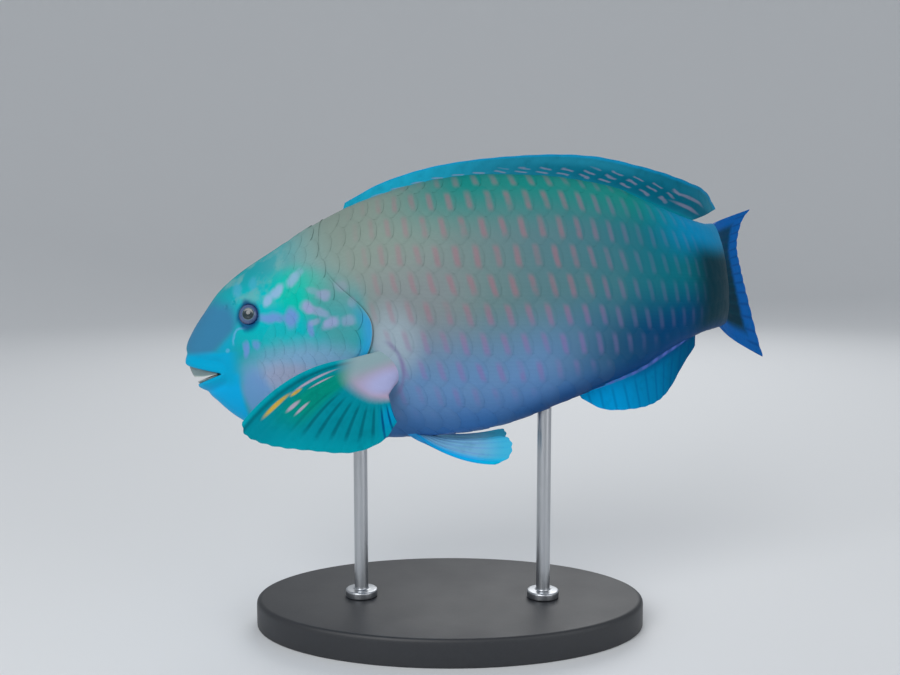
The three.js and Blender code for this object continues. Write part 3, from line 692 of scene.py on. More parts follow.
@dataclass
class ScaleRows:
    """Numbers the scales: columns go along the body and rows up it, half a scale apart.

    A column is the sum of 1 / pitch along the body. A row is the length of skin above a line along
    the flank, divided by the rows' pitch.
    """

    form: BodyForm
    first_bar: float = 0.4953
    lean: float = 0.08
    lean_from: float = 0.07
    # the stretch on which columns are counted, and the steps that it is counted in
    span: tuple[float, float] = (0.02, 1.08)
    steps: int = 1061
    places: int = 260
    turns: int = 181
    halvings: int = 24
    # place and distance from one scale to the next in a row
    pitch: Rows = (
        (0.05, 0.0125), (0.12, 0.0145), (0.2, 0.0175), (0.28, 0.0215), (0.35, 0.0242),
        (0.42, 0.0262), (0.5, 0.0292), (0.56, 0.028), (0.62, 0.0272), (0.7, 0.0238),
        (0.8, 0.0225), (0.95, 0.02), (1.07, 0.015),
    )
    # place and distance from one row to the next
    row_pitch: Rows = (
        (0.05, 0.022), (0.15, 0.026), (0.24, 0.034), (0.33, 0.042), (0.45, 0.0445),
        (0.72, 0.0445), (0.85, 0.041), (0.95, 0.036), (1.07, 0.032),
    )
    # place and height of the middle of row 0
    row_line: Rows = (
        (0.05, 0.03), (0.15, 0.062), (0.25, 0.095), (0.34, 0.111), (0.5, 0.0885),
        (0.64, 0.0675), (0.71, 0.0505), (0.8, 0.029), (0.9, 0.01), (1.07, 0.0),
    )

    def __post_init__(self) -> None:
        """Adds up the columns along the body and the lengths of skin round it."""
        tables = (self.pitch, self.row_pitch, self.row_line)
        (pitch,), (self.row_step,), (line,) = (Curve.each(rows) for rows in tables)
        self.along = np.linspace(*self.span, self.steps)
        middles = (self.along[1:] + self.along[:-1]) / 2
        counted = np.append(0, np.cumsum(np.diff(self.along) / pitch(middles)))
        self.counted = counted - np.interp(self.first_bar, self.along, counted) + 0.5
        self.at_places = np.linspace(self.along[0], self.along[-1], self.places)
        at_turns = np.linspace(-QUARTER, QUARTER, self.turns)
        left, height = self.form.spot(self.at_places[:, None], at_turns[None, :])
        walked = np.cumsum(np.hypot(np.diff(left), np.diff(height)), axis=1)
        walked = np.concatenate([np.zeros((self.places, 1)), walked], axis=1)
        self.skin_length = walked - walked[:, self.turns // 2, None]
        line_turn = self.form.turn_at_height(self.at_places, line(self.at_places))
        self.line_length = self.length_at(self.at_places, line_turn)

    def length_at(self, place: Array, turn: Array) -> Array:
        """The length of skin from the middle of the side, read between the kept places and turns.

        Args:
            place: shares of the length.
            turn: angle on the left side, from minus to plus a quarter turn.

        Returns:
            Shares of the length, upwards positive.
        """
        low, high = self.at_places[0], self.at_places[-1]
        u = np.clip((place - low) / (high - low), 0, 1) * (self.places - 1)
        v = np.clip((turn + QUARTER) / math.pi, 0, 1) * (self.turns - 1)
        i, j = np.minimum(u.astype(int), self.places - 2), np.minimum(v.astype(int), self.turns - 2)
        below = mix(self.skin_length[i, j], self.skin_length[i, j + 1], v - j)
        above = mix(self.skin_length[i + 1, j], self.skin_length[i + 1, j + 1], v - j)
        return mix(below, above, u - i)

    def line_at(self, place: Array) -> Array:
        """The length of skin from the middle of the side to the line of row 0."""
        return np.interp(place, self.at_places, self.line_length)

    def row(self, place: Array, turn: Array) -> Array:
        """The row at a place and turn; whole numbers are the borders between rows."""
        side = np.arcsin(np.clip(np.sin(turn), -1, 1))
        return (self.length_at(place, side) - self.line_at(place)) / self.row_step(place) + 0.5

    def leaning(self, height: Array) -> Array:
        """How far the columns lean back at a height, below the line from which they lean."""
        return self.lean * np.minimum(height - self.lean_from, 0)

    def turn(self, place: Array, row: Array) -> Array:
        """The turn on the left side at which a row lies, found by halving the range.

        Args:
            place: shares of the length.
            row: the row.

        Returns:
            The turn, which stops at the back or the belly where the row runs out.
        """
        target = (row - 0.5) * self.row_step(place) + self.line_at(place)
        low, high = np.full(target.shape, -QUARTER), np.full(target.shape, QUARTER)
        for _ in range(self.halvings):
            middle = (low + high) / 2
            short = self.length_at(place, middle) < target
            low, high = np.where(short, middle, low), np.where(short, high, middle)
        return (low + high) / 2

    def locate(self, column: Array, row: Array) -> tuple[Array, Array]:
        """The place and turn of a column and row.

        Args:
            column: the column.
            row: the row.

        Returns:
            Place, and turn on the left side.
        """
        straight = np.interp(column, self.counted, self.along)
        height = self.form.spot(straight, self.turn(straight, row))[1]
        place = straight - self.leaning(height)
        return place, self.turn(place, row)

    def readings(self, place: Array, turn: Array) -> dict[str, Array]:
        """What the markings read at each point of skin or scale.

        Args:
            place: shares of the length.
            turn: angle round the section.

        Returns:
            Place, height, rise (1 at the back, -1 at the belly), column and row.
        """
        height = self.form.spot(place, turn)[1]
        return {
            "place": place + 0 * turn,
            "height": height,
            "rise": np.clip(self.form.rise(place, height), -1, 1),
            "column": np.interp(place + self.leaning(height), self.along, self.counted),
            "row": self.row(place, turn),
        }


class Rings(NamedTuple):
    """Rings of skin, and how far each point is in the mouth, in the gill slit and along the head."""

    points: Array
    place: Array
    turn: Array
    inside: Array | float = 0.0
    fold: Array | float = 0.0
    flap: Array | float = 0.0


@dataclass
class Skin:
    """One skin over head, body and tail stalk, folded in at the mouth and under the gill covers."""

    form: BodyForm
    relief: HeadRelief
    rows: ScaleRows
    head_rings: int = 230
    body_rings: int = 110
    half_columns: int = 110
    crowding: float = 1.7
    coat_depth: float = 0.5 * MM
    # the columns that run along the lower and the upper lip, how far behind the mouth's corner
    # they still hold to it, and over how much they let go
    lip_turns: tuple[float, float] = (-0.36, -0.02)
    lip_hold: float = 0.035
    lip_ease: float = 0.03
    lip_rounds: int = 12
    # the least turn between the belly and the lip, and the share of the gap that is mouth
    least_turn: float = 0.004
    open_share: float = 0.995
    fold_reach: float = 0.006
    # how deep the skin lies in the fold, and how much shallower at the tail's root
    fold_cover: float = 0.35
    end_thinning: float = 0.7
    first_step: float = 0.004
    body_end: float = 1.064
    # share of the fold's reach behind the gill cover's edge, and share of the cover's raise
    fold_steps: Rows = (
        (0.16, 0.8), (0.2, 0.5), (0.1, 0.22), (-0.4, 0.1),
        (-0.9, 0.02), (-1, -0.02), (-0.7, -0.04), (-0.2, 0),
    )

    def head_turns(self, share: Array) -> Array:
        """The turn of each column of the left half, bent so that two columns follow the lips.

        Ahead of the mouth's corner, turns between the knots -90, lower lip, upper lip and 90
        degrees are spread evenly between the same knots moved onto the lips.

        Args:
            share: how far along the head each ring is, as a column of numbers.

        Returns:
            Rings x columns of turns.
        """
        even = np.linspace(-QUARTER, QUARTER, self.half_columns + 1)[None, :] + 0 * share
        knots = []
        for upper, start in enumerate(self.lip_turns):
            turn = np.full(share.shape, start)
            for _ in range(self.lip_rounds):
                place = self.place_at(share, turn)
                turn = self.form.turn_at_height(place, self.relief.lip_line(place, bool(upper)))
            hold_to = self.relief.corner[0] + self.lip_hold
            held = smooth(hold_to - self.place_at(share, turn), 0, self.lip_ease)
            knots.append(mix(start, np.clip(turn, self.least_turn - QUARTER, QUARTER), held))
        low, high = knots
        low_start, high_start = self.lip_turns
        under = (even + QUARTER) / (low_start + QUARTER)
        between = (even - low_start) / (high_start - low_start)
        over = (even - high_start) / (QUARTER - high_start)
        bent = np.where(even < low_start, mix(-QUARTER, low, under), mix(low, high, between))
        return np.where(even > high_start, mix(high, QUARTER, over), bent)

    def place_at(self, share: Array, turn: Array) -> Array:
        """The place of a ring: snout + (gill edge - snout) * share to a power."""
        return mix(self.form.snout_place, self.form.gill_edge(turn), share**self.crowding)

    def head(self) -> Rings:
        """The rings of the head.

        Points between the lips move straight back until they meet the line from the lip to the
        corner of the mouth, which makes the walls of the mouth. Under scales the skin lies deeper.

        Returns:
            The rings from the snout to the edge of the gill cover.
        """
        share = (np.arange(1, self.head_rings + 1) / self.head_rings)[:, None]
        left_turn = self.head_turns(share)
        turn = np.concatenate([left_turn, math.pi - left_turn[:, -2:0:-1]], axis=1)
        place = self.place_at(share, turn)
        left, height = self.form.spot(place, turn)
        depth = self.coat_depth * (1 - self.relief.naked(place, height))
        lift = self.relief.total(place, height) + self.relief.gill(share, turn) - depth
        ahead, gap = self.relief.mouth_gap(place, height)
        inside = gap < self.open_share
        wall = self.relief.corner[0] - np.maximum(ahead, 0) * np.minimum(gap, 1)
        back = self.form.to_world(wall, left, height)
        points = np.where(inside[..., None], back, self.form.lifted(place, turn, lift))
        return Rings(points, place, turn, inside.astype(float), flap=share)

    def fold(self, turn: Array) -> Rings:
        """The rings that turn the gill cover's edge under, back onto the body.

        Args:
            turn: the turns of the last ring of the head.

        Returns:
            The rings.
        """
        strength = self.relief.gill_strength(turn)
        reach, share = np.array(self.fold_steps).T[:, :, None]
        place = self.form.gill_edge(turn) + self.fold_reach * strength * reach
        depth = np.where(share > 0, self.fold_cover, 1)
        depth[0] = 1
        lift = self.relief.gill_raise * strength * share - self.coat_depth * depth
        turns = np.broadcast_to(turn, place.shape)
        return Rings(self.form.lifted(place, turns, lift), place, turns, fold=strength)

    def body(self, turn: Array) -> Rings:
        """The rings from the gill cover to the root of the tail fin.

        Args:
            turn: the turns of the columns.

        Returns:
            The rings.
        """
        share = np.linspace(self.first_step, 1, self.body_rings)[:, None]
        place = mix(self.form.gill_edge(turn)[None, :], self.body_end, share)
        depth = self.coat_depth * (1 - self.end_thinning * smooth(place, 1.0, self.body_end))
        turns = np.broadcast_to(turn, place.shape)
        return Rings(self.form.lifted(place, turns, -depth), place, turns)

    def surface(self) -> Surface:
        """Joins the rings of head, fold and body, closed onto a point at each end.

        Returns:
            The closed skin with what its markings read.
        """
        head = self.head()
        parts = [head, self.fold(head.turn[-1]), self.body(head.turn[-1])]
        marks = {
            key: np.concatenate([np.broadcast_to(getattr(part, key), part.place.shape) for part in parts])
            for key in ("place", "turn", "inside", "fold", "flap")
        }
        marks.update(self.rows.readings(marks["place"], marks.pop("turn")))
        ends = np.array([self.form.snout_place, self.body_end])
        tips = self.form.to_world(ends, 0, self.form.section(ends).middle)
        made = tube(np.concatenate([part.points for part in parts]), tips)
        for key, numbers in marks.items():
            made.values[key] = np.append(numbers.ravel(), numbers[[0, -1], 0])
        return made.outward()

    def build(self, finish: "SkinFinish") -> Pieces:
        """Makes the skin, which stands for the three nodes of flesh."""
        return [self.surface().piece("skin", finish.material(), "body_skin", "head", "torso", "tail_stalk")]


@dataclass
class Coat:
    """The scales: thin overlapping plates, each closed, laid in rows from the cheek to the tail."""

    form: BodyForm
    relief: HeadRelief
    rows: ScaleRows
    along: int = 6
    across: int = 7
    overlap: float = 0.75
    rounding: float = 0.5
    half_height: float = 0.61
    start: float = -0.12
    # the rows and columns that may hold scales, and how far they go towards tail, back and belly
    row_range: tuple[int, int] = (-9, 9)
    column_range: tuple[int, int] = (-30, 32)
    last_place: float = 1.045
    last_turn: float = QUARTER - 0.03
    root_lift: float = -0.62 * MM
    head_root_lift: float = -0.42 * MM
    tip_lift: float = -0.02 * MM
    tip_drop: float = 0.13 * MM
    side_drop: float = 0.14 * MM
    thickness: float = 0.24 * MM
    # how far the scales of head and body keep apart, and those of the head from the cover's edge
    parting: float = 0.004
    edge_gap: float = 0.0015
    # how high on the nape the cover's edge runs out, and how far its scales reach over it there
    nape: tuple[float, float] = (0.42, 0.68)
    nape_reach: float = 0.05
    ease: float = 0.03
    crowding: float = Skin.crowding
    # size of a scale on the bake map, where the left side's map starts and how far it spreads
    patch: float = 0.004
    map_start: tuple[float, float] = (0.02, 0.25)
    map_spread: tuple[float, float] = (0.9, 0.23)
    seed: int = 7

    def plate(self) -> tuple[Array, Array, Array, Array]:
        """The outline of one scale: its root is straight, its free end is rounded.

        Along the scale x goes from -overlap to 1 - rounding * |y| to the power 2.4, and the lift
        goes from root to tip less a drop towards the sides and at the free edge. The steps along
        it grow shorter towards that edge: 1 - (1 - t) to the power 1.35.

        Returns:
            Steps along and across as columns and rows, the lift, and the share from root to tip.
        """
        share = 1 - (1 - np.linspace(0, 1, self.along)[:, None]) ** 1.35
        bend = QUARTER * 0.92
        y = np.sin(np.linspace(-1, 1, self.across) * bend)[None, :] / math.sin(bend)
        x = mix(-self.overlap, 1 - self.rounding * np.abs(y) ** 2.4, share)
        drop = self.side_drop * np.abs(y) ** 2.5 + self.tip_drop * smooth(share, 0.72, 1)
        lift = mix(self.root_lift, self.tip_lift, share**0.8) - drop
        return x, y, lift, share

    def cells(self, head: bool) -> tuple[Array, ...]:
        """The scales of the head or of the body: inside its outline and clear of bare skin.

        Args:
            head: whether to take those on the gill cover and ahead of it.

        Returns:
            First column, row, and the place and turn of each scale's root.
        """
        row, column = np.meshgrid(np.arange(*self.row_range), np.arange(*self.column_range), indexing="ij")
        # odd rows start half a scale ahead
        column, row = (column - 0.5 * (row % 2)).ravel(), row.ravel().astype(float)
        place, turn = self.rows.locate(column + 0.5, row + 0.5)
        bare = self.relief.naked(place, self.form.spot(place, turn)[1]) > 0.5
        # where a row has run out past the back or the belly, its turn has stopped at its end
        inside = (np.abs(turn) < self.last_turn) & (place < self.last_place)
        on_head = place < self.form.gill_edge(turn) - (self.parting if head else -self.parting)
        keep = inside & ~bare & (on_head == head)
        return column[keep], row[keep], place[keep], turn[keep]

    def build_side(self, right: bool, head: bool) -> Surface:
        """The scales of one side, of the head or of the body.

        Args:
            right: whether it is the fish's right side.
            head: whether to lay those on the gill cover and ahead of it.

        Returns:
            The joined scales.
        """
        column, row, root_place, root_turn = self.cells(head)
        x, y, lift, tip = self.plate()
        columns = column[:, None, None] + self.start + x
        rows = row[:, None, None] + 0.5 + self.half_height * y + 0 * x
        place, turn = self.rows.locate(columns, rows)
        flap = 0.0
        if head:
            lift = lift * (self.head_root_lift / self.root_lift)
            edge = self.form.gill_edge(turn)
            # the cover's edge runs out on the nape, where its scales lie over those of the back
            over = self.nape_reach * smooth(np.sin(turn), *self.nape)
            place = np.minimum(place, edge - self.edge_gap + over)
            snout = self.form.snout_place
            flap = ((place - snout) / (edge - snout)) ** (1 / self.crowding)
            raised = self.relief.gill(flap, turn) * (1 - smooth(place - edge, 0, self.ease))
            lift = lift + self.relief.total(place, self.form.spot(place, turn)[1]) + raised
        tone = np.random.default_rng(self.seed + right).random(len(place))[:, None, None]
        values = {**self.rows.readings(place, turn), "tip": tip, "tone": tone, "flap": flap}
        values = {key: np.broadcast_to(numbers, place.shape) for key, numbers in values.items()}
        side = on_side(turn, right)
        top = self.form.lifted(place, side, np.broadcast_to(lift, place.shape))
        made = self.plates(top, self.form.normal(place, side), values)
        made.bake_map = self.bake_spots(root_place, root_turn, right)
        return made

    def plates(self, top: Array, normal: Array, values: dict[str, Array]) -> Surface:
        """Closes each plate: a rim down from its outline, and one face under it.

        Args:
            top: the points of the upper faces, as scales x along x across x 3.
            normal: the outward direction at each of them.
            values: what the markings read there.

        Returns:
            The joined scales.
        """
        count, grid, outline = len(top), self.along * self.across, border(self.along, self.across)
        under = (top - normal * self.thickness).reshape(count, grid, 3)[:, outline]
        rim = grid + np.arange(len(outline))
        walls = np.stack([outline, rim, np.roll(rim, -1), np.roll(outline, -1)], -1)
        shift = (np.arange(count) * (grid + len(outline)))[:, None, None]
        shapes = [grid_faces(self.along, self.across), walls, rim[None, ::-1]]
        faces = [(shape[None] + shift).reshape(-1, shape.shape[1]) for shape in shapes]
        points = np.concatenate([top.reshape(count, grid, 3), under], axis=1)
        made = Surface(points.reshape(-1, 3), faces)
        for key, numbers in values.items():
            flat = numbers.reshape(count, grid)
            made.values[key] = np.concatenate([flat, flat[:, outline]], axis=1).ravel()
        return made.outward()

    def bake_spots(self, place: Array, turn: Array, right: bool) -> Array:
        """Lays each scale as a small patch at its root's place on the unrolled skin.

        Along the map goes the place, up it goes the turn, with each side in a half of its own.

        Args:
            place: the place of each scale's root.
            turn: the turn of each scale's root.
            right: whether it is the fish's right side.

        Returns:
            A spot of the bake map for each point.
        """
        steps = (np.linspace(-0.5, 0.5, count) for count in (self.along, self.across))
        grid = np.meshgrid(*steps, indexing="ij")
        local = np.stack([part.ravel() for part in grid], -1) * self.patch
        local = np.concatenate([local, local[border(self.along, self.across)]])
        spread = np.stack([place, turn / QUARTER], -1) * np.array(self.map_spread)
        roots = spread + np.array(self.map_start) + np.array([0, 0.5 * right])
        return (roots[:, None] + local[None]).reshape(-1, 2)

    def build(self, finish: "SkinFinish") -> Pieces:
        """Makes the four pieces of the coat: head and body, left and right."""
        made = []
        for area, head in (("head", True), ("body", False)):
            for side, right in SIDES:
                plates = self.build_side(right, head)
                name, slot = f"scales_{area}_{side}", f"{area}_skin"
                made.append(plates.piece(name, finish.material(), slot, sharp=50))
        return made


class Wire:
    """A number in a material: a socket whose operators add Math nodes."""

    def __init__(self, paint: "Paint", socket: bpy.types.NodeSocket) -> None:
        """Wraps an output socket of one of the paint's nodes."""
        self.paint = paint
        self.socket = socket

    def math(self, operation: str, *others: "Wire | float") -> "Wire":
        """A Math node with this number first and the others after it."""
        return self.paint.wire("ShaderNodeMath", {"operation": operation}, dict(enumerate((self, *others))))

    def __add__(self, other: "Wire | float") -> "Wire":
        """Sum."""
        return self.math("ADD", other)

    def __sub__(self, other: "Wire | float") -> "Wire":
        """Difference."""
        return self.math("SUBTRACT", other)

    def __rsub__(self, other: float) -> "Wire":
        """Difference from a plain number."""
        return self.paint.wire("ShaderNodeMath", {"operation": "SUBTRACT"}, {0: other, 1: self})

    def __mul__(self, other: "Wire | float") -> "Wire":
        """Product."""
        return self.math("MULTIPLY", other)

    __radd__, __rmul__ = __add__, __mul__

    def absolute(self) -> "Wire":
        """The number without its sign."""
        return self.math("ABSOLUTE")

    def part(self) -> "Wire":
        """What is left above the whole number below."""
        return self.math("FRACT")

    def most(self, other: "Wire | float") -> "Wire":
        """The larger of the two."""
        return self.math("MAXIMUM", other)

    def ramp(self, start: float, end: float, low: float, high: float) -> "Wire":
        """A soft step from low at start to high at end."""
        inputs = dict(enumerate((self, start, end, low, high)))
        return self.paint.wire("ShaderNodeMapRange", {"interpolation_type": "SMOOTHSTEP"}, inputs)

    def rise(self, start: float, end: float) -> "Wire":
        """A soft step from 0 at start to 1 at end."""
        return self.ramp(start, end, 0.0, 1.0)

    def fall(self, start: float, end: float) -> "Wire":
        """A soft step from 1 at start to 0 at end."""
        return self.ramp(start, end, 1.0, 0.0)

    def band(self, start: float, end: float, soft: float) -> "Wire":
        """1 between start and end, 0 outside, with soft borders."""
        return self.rise(start - soft, start + soft) * self.fall(end - soft, end + soft)


def srgb(red: int, green: int, blue: int) -> Colour:
    """A screen colour of 0 to 255 as the light it stands for: ((c + 0.055) / 1.055) to the 2.4."""
    shares = [level / 255 for level in (red, green, blue)]
    return (*(c / 12.92 if c <= 0.04045 else ((c + 0.055) / 1.055) ** 2.4 for c in shares), 1.0)


class Paint:
    """A material in the making, with one principled shader."""

    def __init__(self, name: str) -> None:
        """Starts an empty material with its shader and output."""
        self.material = bpy.data.materials.new(name)
        self.material.use_nodes = True
        self.tree = self.material.node_tree
        self.tree.nodes.clear()
        self.shader = self.node("ShaderNodeBsdfPrincipled")
        output = self.node("ShaderNodeOutputMaterial")
        self.tree.links.new(self.shader.outputs[0], output.inputs[0])

    def node(self, kind: str, settings: dict[str, Any] | None = None,
             inputs: dict[int | str, Any] | None = None) -> bpy.types.Node:
        """Makes a node: its settings first, then the values or links of its sockets.

        Args:
            kind: the node's type.
            settings: its own choices by name.
            inputs: numbers, colours or wires by the socket's number or name.

        Returns:
            The node.
        """
        made = self.tree.nodes.new(kind)
        for key, choice in (settings or {}).items():
            setattr(made, key, choice)
        for key, given in (inputs or {}).items():
            self.give(made.inputs[key], given)
        return made

    def give(self, socket: bpy.types.NodeSocket, given: Any) -> None:
        """Links a wire to a socket, or sets the socket to a number or colour."""
        if isinstance(given, Wire):
            self.tree.links.new(given.socket, socket)
        else:
            socket.default_value = given

    def wire(self, kind: str, settings: dict[str, Any] | None = None,
             inputs: dict[int | str, Any] | None = None, output: int | str = 0) -> Wire:
        """A node's output as a wire."""
        return Wire(self, self.node(kind, settings, inputs).outputs[output])

    def number(self, name: str) -> Wire:
        """A value that the mesh keeps at its points."""
        return self.wire("ShaderNodeAttribute", {"attribute_name": name}, output="Fac")

    def numbers(self, *names: str) -> list[Wire]:
        """Several values that the mesh keeps at its points."""
        return [self.number(name) for name in names]

    def place(self) -> Wire:
        """The point in the part's own frame."""
        return self.wire("ShaderNodeTexCoord", output="Object")

    def vector(self, x: Wire | float, y: Wire | float) -> Wire:
        """Two numbers as a vector, with 0 as its third."""
        return self.wire("ShaderNodeCombineXYZ", None, {0: x, 1: y})

    def noise(self, vector: Wire, scale: float, detail: float = 3.0, output: str = "Fac") -> Wire:
        """Soft noise, about 0.5 on average."""
        inputs = {"Vector": vector, "Scale": scale, "Detail": detail}
        return self.wire("ShaderNodeTexNoise", None, inputs, output)

    def grain(self, scale: float, detail: float = 3.0) -> Wire:
        """Soft noise over the part's own frame, about 0.5 on average."""
        return self.noise(self.place(), scale, detail)

    def wobbled(self, vector: Wire, scale: float, strength: float) -> Wire:
        """A vector moved a little by coloured noise: vector + (noise - 0.5) * strength.

        Args:
            vector: the vector to move.
            scale: how fine the noise is.
            strength: how far it moves.

        Returns:
            The moved vector.
        """
        colour = self.noise(self.place(), scale, 2.0, "Color")
        off = self.wire("ShaderNodeVectorMath", {"operation": "SUBTRACT"}, {0: colour, 1: (0.5,) * 3})
        moved = {0: off, 1: (strength,) * 3, 2: vector}
        return self.wire("ShaderNodeVectorMath", {"operation": "MULTIPLY_ADD"}, moved)

    def spot(self, vector: Wire, centre: tuple[float, float], radii: tuple[float, float],
             angle: float = 0.0, soft: float = 0.25) -> Wire:
        """1 inside a turned ellipse and 0 outside.

        Args:
            vector: the plane's coordinates.
            centre: the middle of the ellipse.
            radii: half its length and half its width.
            angle: its turn in degrees.
            soft: the share of the radius over which it fades, to both sides of its edge.

        Returns:
            The mask.
        """
        mapped = self.wire("ShaderNodeMapping", {"vector_type": "TEXTURE"}, {
            "Vector": vector, "Location": (*centre, 0), "Rotation": (0, 0, math.radians(angle)),
            "Scale": (*radii, 1)})
        length = self.wire("ShaderNodeVectorMath", {"operation": "LENGTH"}, {0: mapped}, "Value")
        return length.fall(1 - soft, 1 + soft)

    def layers(self, colour: Wire | Colour, *layers: tuple[Wire | float, Wire | Colour]) -> Wire:
        """Lays colours over one another.

        Args:
            colour: the ground.
            layers: for each layer its mask and its colour, from the bottom up.

        Returns:
            The colour.
        """
        for mask, tone in layers:
            colour = self.wire("ShaderNodeMix", {"data_type": "RGBA"}, {0: mask, 6: colour, 7: tone}, 2)
        return colour

    def set(self, **sockets: Wire | float | Colour) -> None:
        """Sets or links the shader's sockets, with _ for a space in their names."""
        for key, given in sockets.items():
            self.give(self.shader.inputs[key.replace("_", " ")], given)

    def bump(self, height: Wire, distance: float, strength: float = 0.7) -> None:
        """Gives the surface a fine relief of the given depth in metres."""
        inputs = {"Strength": strength, "Distance": distance, "Height": height}
        self.set(Normal=self.wire("ShaderNodeBump", None, inputs, "Normal"))


@dataclass(frozen=True)
class SkinFinish:
    """The living colours of skin and scales with some painted shade and highlight, the same on both, laid out
    by place and height.
    """

    name: str
    scaled: bool
    flank: Colour = srgb(90, 124, 130)
    front: Colour = srgb(126, 142, 134)
    blush: Colour = srgb(130, 134, 142)
    back: Colour = srgb(14, 130, 124)
    rear: Colour = srgb(8, 108, 124)
    rear_top: Colour = srgb(0, 136, 186)
    # deep blue of the lower rear flank, partly painted shade
    rear_low: Colour = srgb(0, 66, 112)
    # dark of the tail's stalk, partly painted shade
    stalk_side: Colour = srgb(0, 52, 66)
    low_flank: Colour = srgb(98, 138, 184)
    belly: Colour = srgb(64, 116, 178)
    # deep blue under the rear belly, partly painted shade
    belly_rear: Colour = srgb(8, 66, 124)
    head: Colour = srgb(28, 152, 162)
    crown: Colour = srgb(124, 168, 168)
    snout: Colour = srgb(56, 124, 162)
    patch: Colour = srgb(0, 176, 184)
    patch_green: Colour = srgb(0, 186, 164)
    cheek: Colour = srgb(122, 166, 200)
    cheek_pink: Colour = srgb(166, 158, 184)
    throat_strip: Colour = srgb(104, 148, 200)
    lip: Colour = srgb(0, 160, 204)
    chin: Colour = srgb(0, 166, 222)
    blotch: Colour = srgb(112, 140, 208)
    blotch_pale: Colour = srgb(152, 156, 200)
    blotch_light: Colour = srgb(146, 176, 214)
    temple: Colour = srgb(70, 146, 150)
    pale_line: Colour = srgb(92, 168, 208)
    # painted shade round the eye
    orbit: Colour = srgb(6, 48, 112)
    gill_strip: Colour = srgb(0, 150, 205)
    bar: Colour = srgb(156, 104, 120)
    bar_low: Colour = srgb(132, 106, 166)
    bar_rear: Colour = srgb(112, 104, 148)
    # pale skin over the pectoral fin's root, partly a painted highlight
    shoulder: Colour = srgb(158, 176, 188)
    # painted shade in the mouth, in the fold under the gill cover and under the scales' free edges
    mouth: Colour = srgb(20, 26, 34)

    def body_colour(self, paint: Paint, flat: Wire) -> Wire:
        """The ground colour of the body: soft fields from nape and back down to the belly; the deep blue low
        at the rear and the dark of the tail's stalk are partly painted shade, and the pale shoulder partly a
        painted highlight.

        Args:
            paint: the material.
            flat: place and height as a vector.

        Returns:
            The colour.
        """
        place, rise = paint.numbers("place", "rise")
        return paint.layers(
            self.flank,
            (place.fall(0.36, 0.6) * rise.rise(-0.55, 0.3), self.front),
            (place.band(0.33, 0.47, 0.05) * rise.band(-0.4, 0.4, 0.25) * 0.6, self.blush),
            (place.rise(0.52, 0.8), self.rear),
            (rise.rise(0.45, 0.95) * place.rise(0.34, 0.5), self.back),
            (rise.fall(-0.65, 0.05) * place.fall(0.55, 0.74), self.low_flank),
            (rise.fall(-0.95, -0.55) * place.fall(0.6, 0.8), self.belly),
            # painted shade low on the rear flank and under the rear belly, over their own deep blue
            (rise.fall(-0.65, 0.05) * place.rise(0.55, 0.76), self.rear_low),
            (rise.fall(-0.98, -0.75) * place.rise(0.42, 0.62), self.belly_rear),
            (rise.rise(0.1, 0.6) * place.rise(0.74, 0.88), self.rear_top),
            # the tail's stalk darkened, partly painted shade
            (rise.band(-0.95, 0.45, 0.25) * place.rise(0.81, 0.89), self.stalk_side),
            # pale shoulder, partly a painted highlight
            (paint.spot(flat, (0.362, -0.022), (0.034, 0.045), 0, 0.75) * 0.75, self.shoulder),
        )

    def bars(self, paint: Paint) -> tuple[Wire, Wire]:
        """One upright bar on each scale of the flank, uneven and worn.

        Args:
            paint: the material.

        Returns:
            The bars' mask and colour.
        """
        place, rise, row, column = paint.numbers("place", "rise", "row", "column")
        up = row.part() - 0.5
        # odd rows lie half a scale ahead
        along = (column + (row.math("FLOOR") * 0.5).part()).part() - 0.5
        worn = paint.grain(95)
        width = (along + up * 0.1 + (worn - 0.5) * 0.16).absolute().fall(0.03, 0.26)
        shape = width * (up + (worn - 0.5) * 0.3).absolute().fall(0.2, 0.5)
        there = place.band(0.33, 0.86, 0.04) * rise.band(-0.7, 0.97, 0.15)
        there = there * (1 - place.rise(0.66, 0.84) * 0.4)
        strength = there * (0.3 + 0.26 * place.band(0.41, 0.7, 0.1)) * worn.rise(0.1, 0.56)
        low, rear = rise.fall(-0.5, 0.1), place.rise(0.6, 0.78)
        tone = paint.layers(self.bar, (low, self.bar_low), (rear, self.bar_rear))
        return (shape * strength).math("MINIMUM", 0.9), tone

    def head_colour(self, paint: Paint, spot: Wire) -> Wire:
        """The fields of colour on the head.

        Args:
            paint: the material.
            spot: place and height as a vector, with softly shifted borders.

        Returns:
            The head's ground colour.
        """
        place, height = paint.numbers("place", "height")
        brow = place.band(0.07, 0.25, 0.03) * height.rise(0.045, 0.075)
        # the snout's patch ends on a slope from the lip up to the eye
        slope = height - place * 0.74
        lip = height.fall(-0.0125, -0.0015).most(slope.fall(-0.07, -0.058) * 0.6)
        muzzle = paint.spot(spot, (0.066, 0.024), (0.062, 0.042), 22, 0.3) * slope.rise(-0.077, -0.052)
        return paint.layers(
            self.head,
            (place.rise(0.14, 0.3) * height.rise(0.06, 0.12), self.crown),
            (paint.spot(spot, (0.215, 0.042), (0.12, 0.055), 0, 0.4), self.patch),
            (paint.grain(130).rise(0.48, 0.68) * brow * 0.5, self.crown),
            (paint.spot(spot, (0.238, 0.07), (0.05, 0.034), -15, 0.5) * 0.85, self.patch_green),
            (paint.spot(spot, (0.29, 0.034), (0.042, 0.05), 0, 0.5) * 0.75, self.temple),
            (muzzle, self.snout),
            (paint.spot(spot, (0.235, -0.068), (0.11, 0.058), -6, 0.35), self.cheek),
            (paint.spot(spot, (0.2, -0.058), (0.05, 0.022), -10, 0.6) * 0.6, self.cheek_pink),
            (paint.spot(spot, (0.14, -0.088), (0.026, 0.05), 4, 0.35) * 0.8, self.throat_strip),
            (height.fall(-0.15, -0.12), self.belly),
            (place.fall(0.106, 0.118) * height.fall(-0.05, -0.038), self.chin),
            (lip * place.fall(0.095, 0.13) * height.rise(-0.07, -0.05), self.lip),
        )

